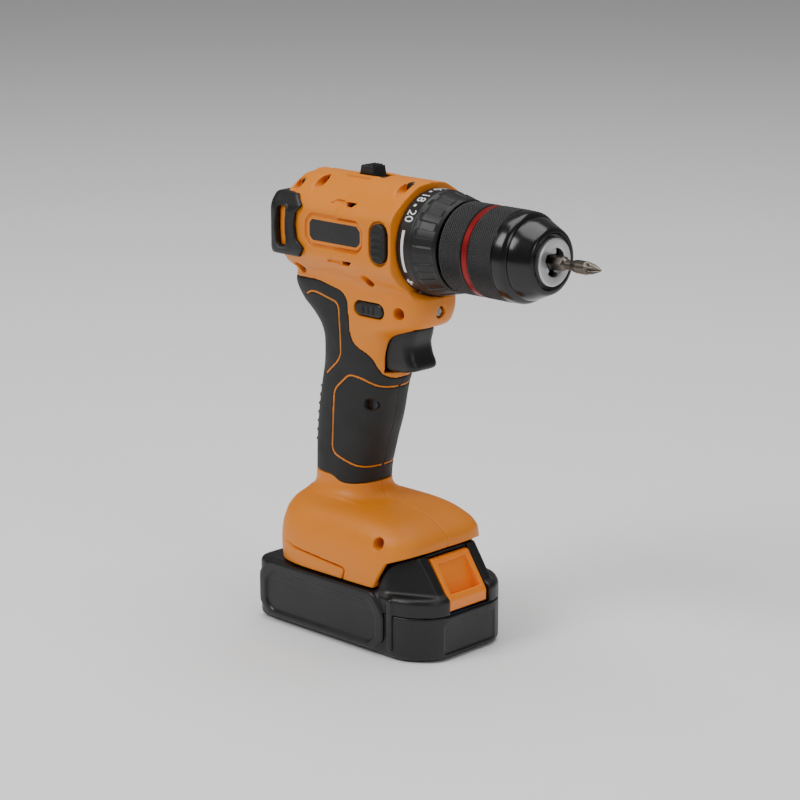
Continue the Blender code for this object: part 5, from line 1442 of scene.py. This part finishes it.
@dataclass
class Controls(SubAssembly):
    """Trigger, direction selector, speed selector and lamp."""

    # Height above the guard, front and half-width of the trigger's sections.
    trigger_rows: tuple = (
        (133.6, 17.0, 8.0), (135.0, 25.0, 9.0), (137.5, 28.7, 9.5), (143.0, 26.4, 9.6), (148.0, 25.4, 9.6),
        (153.0, 26.6, 9.6), (157.0, 27.6, 9.4),
    )

    def trigger(self) -> None:
        """Make the trigger with its finger hollow and stem."""
        g = Grid((-1, -10.4, 132.8), (30.5, 10.4, 158), 0.3)
        front, half = (row[None, None, :] for row in through_rows(self.trigger_rows, g.z[0, 0]))
        u = np.abs(g.x - (front + 6) / 2) - (front - 6) / 2
        v = np.abs(g.y) - half
        ease = 5.0
        nose = np.sqrt(np.maximum(u + ease, 0) ** 2 + np.maximum(v + ease, 0) ** 2) - ease
        flat = np.maximum(np.maximum(u, v), nose)
        shape = np.maximum(common(flat, between(g.z, 133.7, 156.8), 2.5), 10.8 - g.x)
        stem = np.maximum(np.abs(g.y) - 3.4, np.abs(g.z - 143.5) - 3.4)
        stem = np.maximum(stem, np.abs(g.x - 6.6) - 5.2)
        made = solid("trigger_shoe", g, np.minimum(shape, stem), Surface.BLACK_NYLON)
        self.place(made, "trigger", "black_nylon", ["trigger"])

    def direction(self) -> None:
        """Make the push-through direction selector."""
        g = Grid((-4, -18.6, 160), (18, 18.6, 170), 0.35)
        flat = outline_distance(stadium(SELECTOR, 18.8, 6.9), g.x, g.z)
        bar = pushed(flat, g.y, -17.95, 17.95, 1.3)
        for x in (3.6, 7.0, 10.4):
            groove = np.maximum(np.abs(g.x - x) - 0.5, np.abs(g.z - SELECTOR[1]) - 2.0)
            bar = cut(bar, np.maximum(groove, 17.3 - np.abs(g.y)), 0.4)
        made = solid("direction_bar", g, bar, Surface.BLACK_NYLON)
        self.place(made, "direction_selector", "black_nylon", ["direction_selector"])

    def speed(self) -> None:
        """Make the two-speed slider with its ribbed cap."""
        g = Grid((-16.5, -7, 221.8), (2, 7, 232.4), 0.3)
        z = g.z - SPINDLE_Z
        base = pushed(np.maximum(np.abs(g.x - SLIDER_X) - 8.2, np.abs(g.y) - 5.6), z, 23.1, 26.2, 0.5)
        flat = np.maximum(np.abs(g.x - SLIDER_X) - 5.0 + 0.22 * np.maximum(z - 27, 0), np.abs(g.y) - 4.3)
        cap = pushed(flat, z, 25.5, 32.3, 0.9)
        for x in (-10.2, -8.2, -6.2, -4.2):
            cap = cut(cap, np.maximum(np.abs(g.x - x) - 0.45, 31.4 - z), 0.5)
        made = solid("speed_slider", g, union(base, cap, 0.8), Surface.BLACK_NYLON)
        self.place(made, "speed_shift", "black_nylon", ["speed_selector"])

    def lamp(self) -> None:
        """Make the lamp's domed lens."""
        g = Grid((29.5, -3, 162.8), (38, 3, 168.8), 0.15)
        across = np.sqrt(g.y**2 + (g.z - LAMP_Z) ** 2)
        lens = common(across - 2.35, np.sqrt(across**2 + (g.x - 31.6) ** 2) - 5.1, 0.5)
        lens = np.maximum(lens, 30 - g.x)
        self.place(solid("lamp_dome", g, lens, Surface.LENS), "drill", "clear_polycarbonate", ["lamp_lens"])

    def build(self) -> None:
        """Make every control."""
        self.trigger()
        self.direction()
        self.speed()
        self.lamp()


@dataclass
class Battery(SubAssembly):
    """The slide-on pack: two cases, recessed side fields and the release button."""

    rear: float = -58.0
    front: float = 58.0
    half: float = 33.6
    panel_half: float = 35.4
    rear_corner: float = 9.5
    front_corner: float = 14.0
    split: float = 22.0
    deck: float = 31.5
    wall: float = 2.2

    def plan(self, g: Grid, half: float, inset: float = 0.0) -> np.ndarray:
        """Distances across the pack's plan.

        Args:
            g: The lattice.
            half: Its half-width.
            inset: How far it is drawn in.

        Returns:
            The field.
        """
        back, fore = self.rear_corner, self.front_corner
        edge = [
            (self.rear, -half), (self.rear, half), (self.front - fore, half),
            (self.front, half - fore * 0.85), (self.front, -half + fore * 0.85),
            (self.front - fore, -half),
        ]
        return outline_distance(filleted(edge, back * 0.8, 6), g.x, g.y) + inset

    def case(self, g: Grid) -> np.ndarray:
        """Distances to the whole pack with its side panels, before it is split.

        Args:
            g: The lattice.

        Returns:
            The field.
        """
        core = pushed(self.plan(g, self.half), g.z, 0.0, self.deck, 3.0)
        edge = [(-54.5, 9), (-48, 2.4), (26, 2.4), (33, 8), (33, 22), (26, 31.3), (-47, 31.3), (-54.5, 24)]
        panel = pushed(outline_distance(filleted(edge, 3.0), g.x, g.z), np.abs(g.y), 30, self.panel_half, 1.0)
        body = union(core, np.maximum(panel, self.plan(g, self.panel_half)), 0.8)
        ridge = pushed(outline_distance(stadium((17, 36.5), 27, 4.4), g.z, g.x), np.abs(g.y), 28, 34.9, 1.0)
        body = union(body, ridge, 0.5)
        label = [
            (-49, 9.5), (-45, 5.5), (23, 5.5), (27.5, 9.5), (27.5, 21), (23, 26.5), (-43, 26.5),
            (-49, 21),
        ]
        field_edge = outline_distance(filleted(label, 2.0), g.x, g.z)
        body = cut(body, np.maximum(field_edge, self.panel_half - 1.0 - np.abs(g.y)), 0.4)
        face = outline_distance(filleted(rectangle((-17.5, 3), (17.5, 17.8)), 1.4), g.y, g.z)
        return cut(body, np.maximum(face, self.front - 0.8 - g.x), 0.5)

    def hump(self, g: Grid) -> np.ndarray:
        """Distances to the sloping shoulder ahead of the foot.

        Args:
            g: The lattice.

        Returns:
            The field.
        """
        rows = ((28.5, 24.0, 56.6, 32.4), (31.5, 24.2, 54.6, 31.6), (45.0, 31.4, 44.9, 28.4),
                (46.0, 33.6, 44.0, 27.8), (48.9, 41.2, 42.0, 26.0))
        rear, front, half = (row[None, None, :] for row in through_rows(rows, g.z[0, 0]))
        u, v = np.maximum(rear - g.x, g.x - front), np.abs(g.y) - half
        round_corner = np.sqrt(np.maximum(u + 3, 0) ** 2 + np.maximum(v + 3, 0) ** 2) - 3
        flat = np.maximum(np.maximum(u, v), round_corner) * 0.8
        bevel = (np.abs(g.y) + 0.55 * (g.x - 38) - 27.5 + 0.35 * (g.z - 34)) * 0.83
        flat = np.maximum(common(flat, bevel, 0.8), self.plan(g, self.half, 0.8))
        return common(flat, between(g.z, 28.5, 48.6), 0.8)

    def button_field(self, g: Grid) -> np.ndarray:
        """Distances to the release button with its thumb hollow.

        Args:
            g: The lattice.

        Returns:
            The field.
        """
        edge = [
            (41.6, 46.9), (44.4, 46.9), (56.2, 29.8), (56.7, 28.4), (56.7, 23.3), (54, 23.3),
            (46.5, 33.5), (41.6, 39.5),
        ]
        shape = pushed(outline_distance(filleted(edge, 0.8, 3), g.x, g.z), g.y, -13.3, 13.3, 0.9)
        lean = math.atan2(28.9 - 46.9, 57 - 44.4)
        along = (g.x - 44.4) * math.cos(lean) + (g.z - 46.9) * math.sin(lean)
        out = -(g.x - 44.4) * math.sin(lean) + (g.z - 46.9) * math.cos(lean)
        flare = 9.3 + 0.06 * along
        pocket = np.maximum(np.abs(g.y) - flare, np.maximum(2.6 - along, along - 18.6))
        floor = -(out + 1.2 + 0.27 * np.clip(along - 2.6, 0, 16))
        return cut(shape, np.maximum(pocket, floor), 0.9)

    def build(self) -> None:
        """Make the cases and the button."""
        g = Grid((-59, -36, -0.8), (59, 36, 49.2), 0.6)
        body = self.case(g)
        inner = pushed(self.plan(g, self.half, self.wall), g.z, self.wall, 29.3, 0.5)
        core = np.maximum(self.plan(g, self.half, -0.4), g.z - self.split)
        behind_lip = np.maximum(19.9 - g.z, np.minimum(g.x - 57.0, 22.8 - g.z))
        button_room = np.maximum(np.maximum(np.abs(g.y) - 14.0, 41.0 - g.x), behind_lip)
        lower = np.maximum(np.maximum(np.maximum(body, core), -inner), -button_room)
        made = solid("pack_tray", g, lower, Surface.CASE_NYLON)
        self.place(made, "battery", "black_nylon", ["battery_lower_case"])
        upper = union(np.maximum(body, -(core - 0.15)), self.hump(g), 1.5)
        rails = np.maximum(between(g.x, -36, 26), between(g.z, 30, 39.9))
        stem = np.maximum(np.abs(g.y) - 21.9, rails)
        rail = np.maximum(np.maximum(np.abs(g.y) - 25.9, 36.8 - g.z), rails)
        upper = np.minimum(upper, np.minimum(stem, rail))
        blades = np.abs(np.abs(g.y) - 10) - 1.0
        slots = np.maximum(np.maximum(np.minimum(blades, np.abs(g.y) - 1.0), g.x + 8), 33 - g.z)
        upper = np.maximum(upper, -np.maximum(slots, -37 - g.x))
        hollow = np.maximum(inner, -(np.maximum(np.abs(g.y) - 16.0, 39.0 - g.x)))
        upper = np.maximum(np.maximum(upper, -hollow), -button_room)
        made = solid("pack_lid", g, upper, Surface.CASE_NYLON)
        self.place(made, "battery", "black_nylon", ["battery_upper_case"])
        g = Grid((40.5, -14.2, 22.4), (59, 14.2, 48), 0.3)
        made = solid("release_key", g, self.button_field(g), Surface.ORANGE_ACETAL)
        self.place(made, "battery_release_button", "orange_acetal", ["battery_release_button"])


@dataclass
class InnerWorks(SubAssembly):
    """Every node still shown as it is, in its own finish."""

    fallback: Surface = Surface.BLACK_NYLON
    darkened: tuple = ("chuck_body", "jaw_nut")

    def finish_of(self, name: str) -> Surface:
        """The surface a node takes from the record.

        Args:
            name: The node's name.

        Returns:
            Its surface.
        """
        if name in self.darkened:
            return Surface.OXIDE_STEEL
        for part in self.frame["record"]["subparts"]:
            if part["node"] == name and part["material_slot"] in SLOT_SURFACES:
                return SLOT_SURFACES[part["material_slot"]]
        return self.fallback

    def build(self) -> None:
        """Give each shown node its finish."""
        for name, node in self.frame["nodes"].items():
            if node.hide_render:
                continue
            node.data.materials.clear()
            node.data.materials.append(self.finish_of(name).material())
            node.data.shade_smooth()
            node.data.set_sharp_from_angle(angle=math.radians(30))


# ---------------------------------------------------------------------------
# Studio
# ---------------------------------------------------------------------------


@dataclass
class Studio:
    """A pale floor, soft lights and the camera."""

    azimuth: float = 44.0
    elevation: float = 14.5
    lens: float = 110.25
    place: tuple = (0.8122, -0.8300, 0.4163)
    room_light: float = 0.22
    floor_half: float = 6.0
    floor_z: float = -0.0006
    # Name, place in metres, side in metres and power in watts of each soft light.
    lights: tuple = (
        ("key_light", (-0.5, -1.5, 1.6), 1.0, 24),
        ("front_light", (1.8, -0.3, 1.0), 0.6, 5),
        ("top_light", (0.1, 0.2, 2.0), 1.6, 28),
    )

    def floor(self) -> None:
        """Lay a pale flat floor."""
        mesh = bpy.data.meshes.new("studio_floor")
        half = self.floor_half
        points = [(x, y, self.floor_z) for x, y in rectangle((-half, -half), (half, half))]
        mesh.from_pydata(points, [], [(0, 1, 2, 3)])
        floor = bpy.data.objects.new("studio_floor", mesh)
        bpy.context.scene.collection.objects.link(floor)
        paint = Moulded("floor_paint", "#FFFFFF", 0.75, grain_mm=2.0, grain_depth_mm=0.01, mottle=0.0)
        mesh.materials.append(paint.make())

    def light(self, name: str, spot: tuple, size: float, power: float, aim: tuple = (0, 0, 0.12)) -> None:
        """Hang a square soft light.

        Args:
            name: Its name.
            spot: Where it hangs, in metres.
            size: Length of its side.
            power: Its output in watts.
            aim: What it points at.
        """
        lamp = bpy.data.lights.new(name, "AREA")
        lamp.energy, lamp.size = power, size
        held = bpy.data.objects.new(name, lamp)
        held.location = spot
        held.rotation_euler = (Vector(aim) - Vector(spot)).to_track_quat("-Z", "Y").to_euler()
        bpy.context.scene.collection.objects.link(held)

    def world(self) -> None:
        """Fill the room with even white light."""
        world = bpy.data.worlds.new("studio")
        world.use_nodes = True
        background = world.node_tree.nodes["Background"]
        background.inputs["Color"].default_value = (1, 1, 1, 1)
        background.inputs["Strength"].default_value = self.room_light
        bpy.context.scene.world = world

    def camera(self) -> None:
        """Set the camera at the height and side that the drill is seen from."""
        data = bpy.data.cameras.new("camera")
        data.lens, data.sensor_width = self.lens, 36.0
        data.clip_end = 50
        held = bpy.data.objects.new("camera", data)
        a, e = math.radians(self.azimuth), math.radians(self.elevation)
        back = Vector((math.sin(a) * math.cos(e), -math.cos(a) * math.cos(e), math.sin(e)))
        right = Vector((math.cos(a), math.sin(a), 0))
        turn = Matrix((right, back.cross(right), back)).transposed().to_4x4()
        held.matrix_world = Matrix.Translation(self.place) @ turn
        bpy.context.scene.collection.objects.link(held)
        bpy.context.scene.camera = held

    def build(self) -> None:
        """Set everything up."""
        self.world()
        self.floor()
        for name, spot, size, power in self.lights:
            self.light(name, spot, size, power)
        self.camera()


def corners(box: Sequence) -> list:
    """A box's corners as plain lists."""
    return [[float(value) for value in corner] for corner in box]


def main() -> None:
    """Build every sub-assembly in turn."""
    logging.basicConfig(level=logging.INFO, format="%(message)s")
    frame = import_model()
    for kind in (Housing, GripSkins, RearCover, SideTrim, TorqueCollar, Chuck, DriverBit, Controls, Battery):
        LOG.info("building %s", kind.__name__)
        kind(frame).build()
    InnerWorks(frame).build()
    Studio().build()


if __name__ == "__main__":
    main()
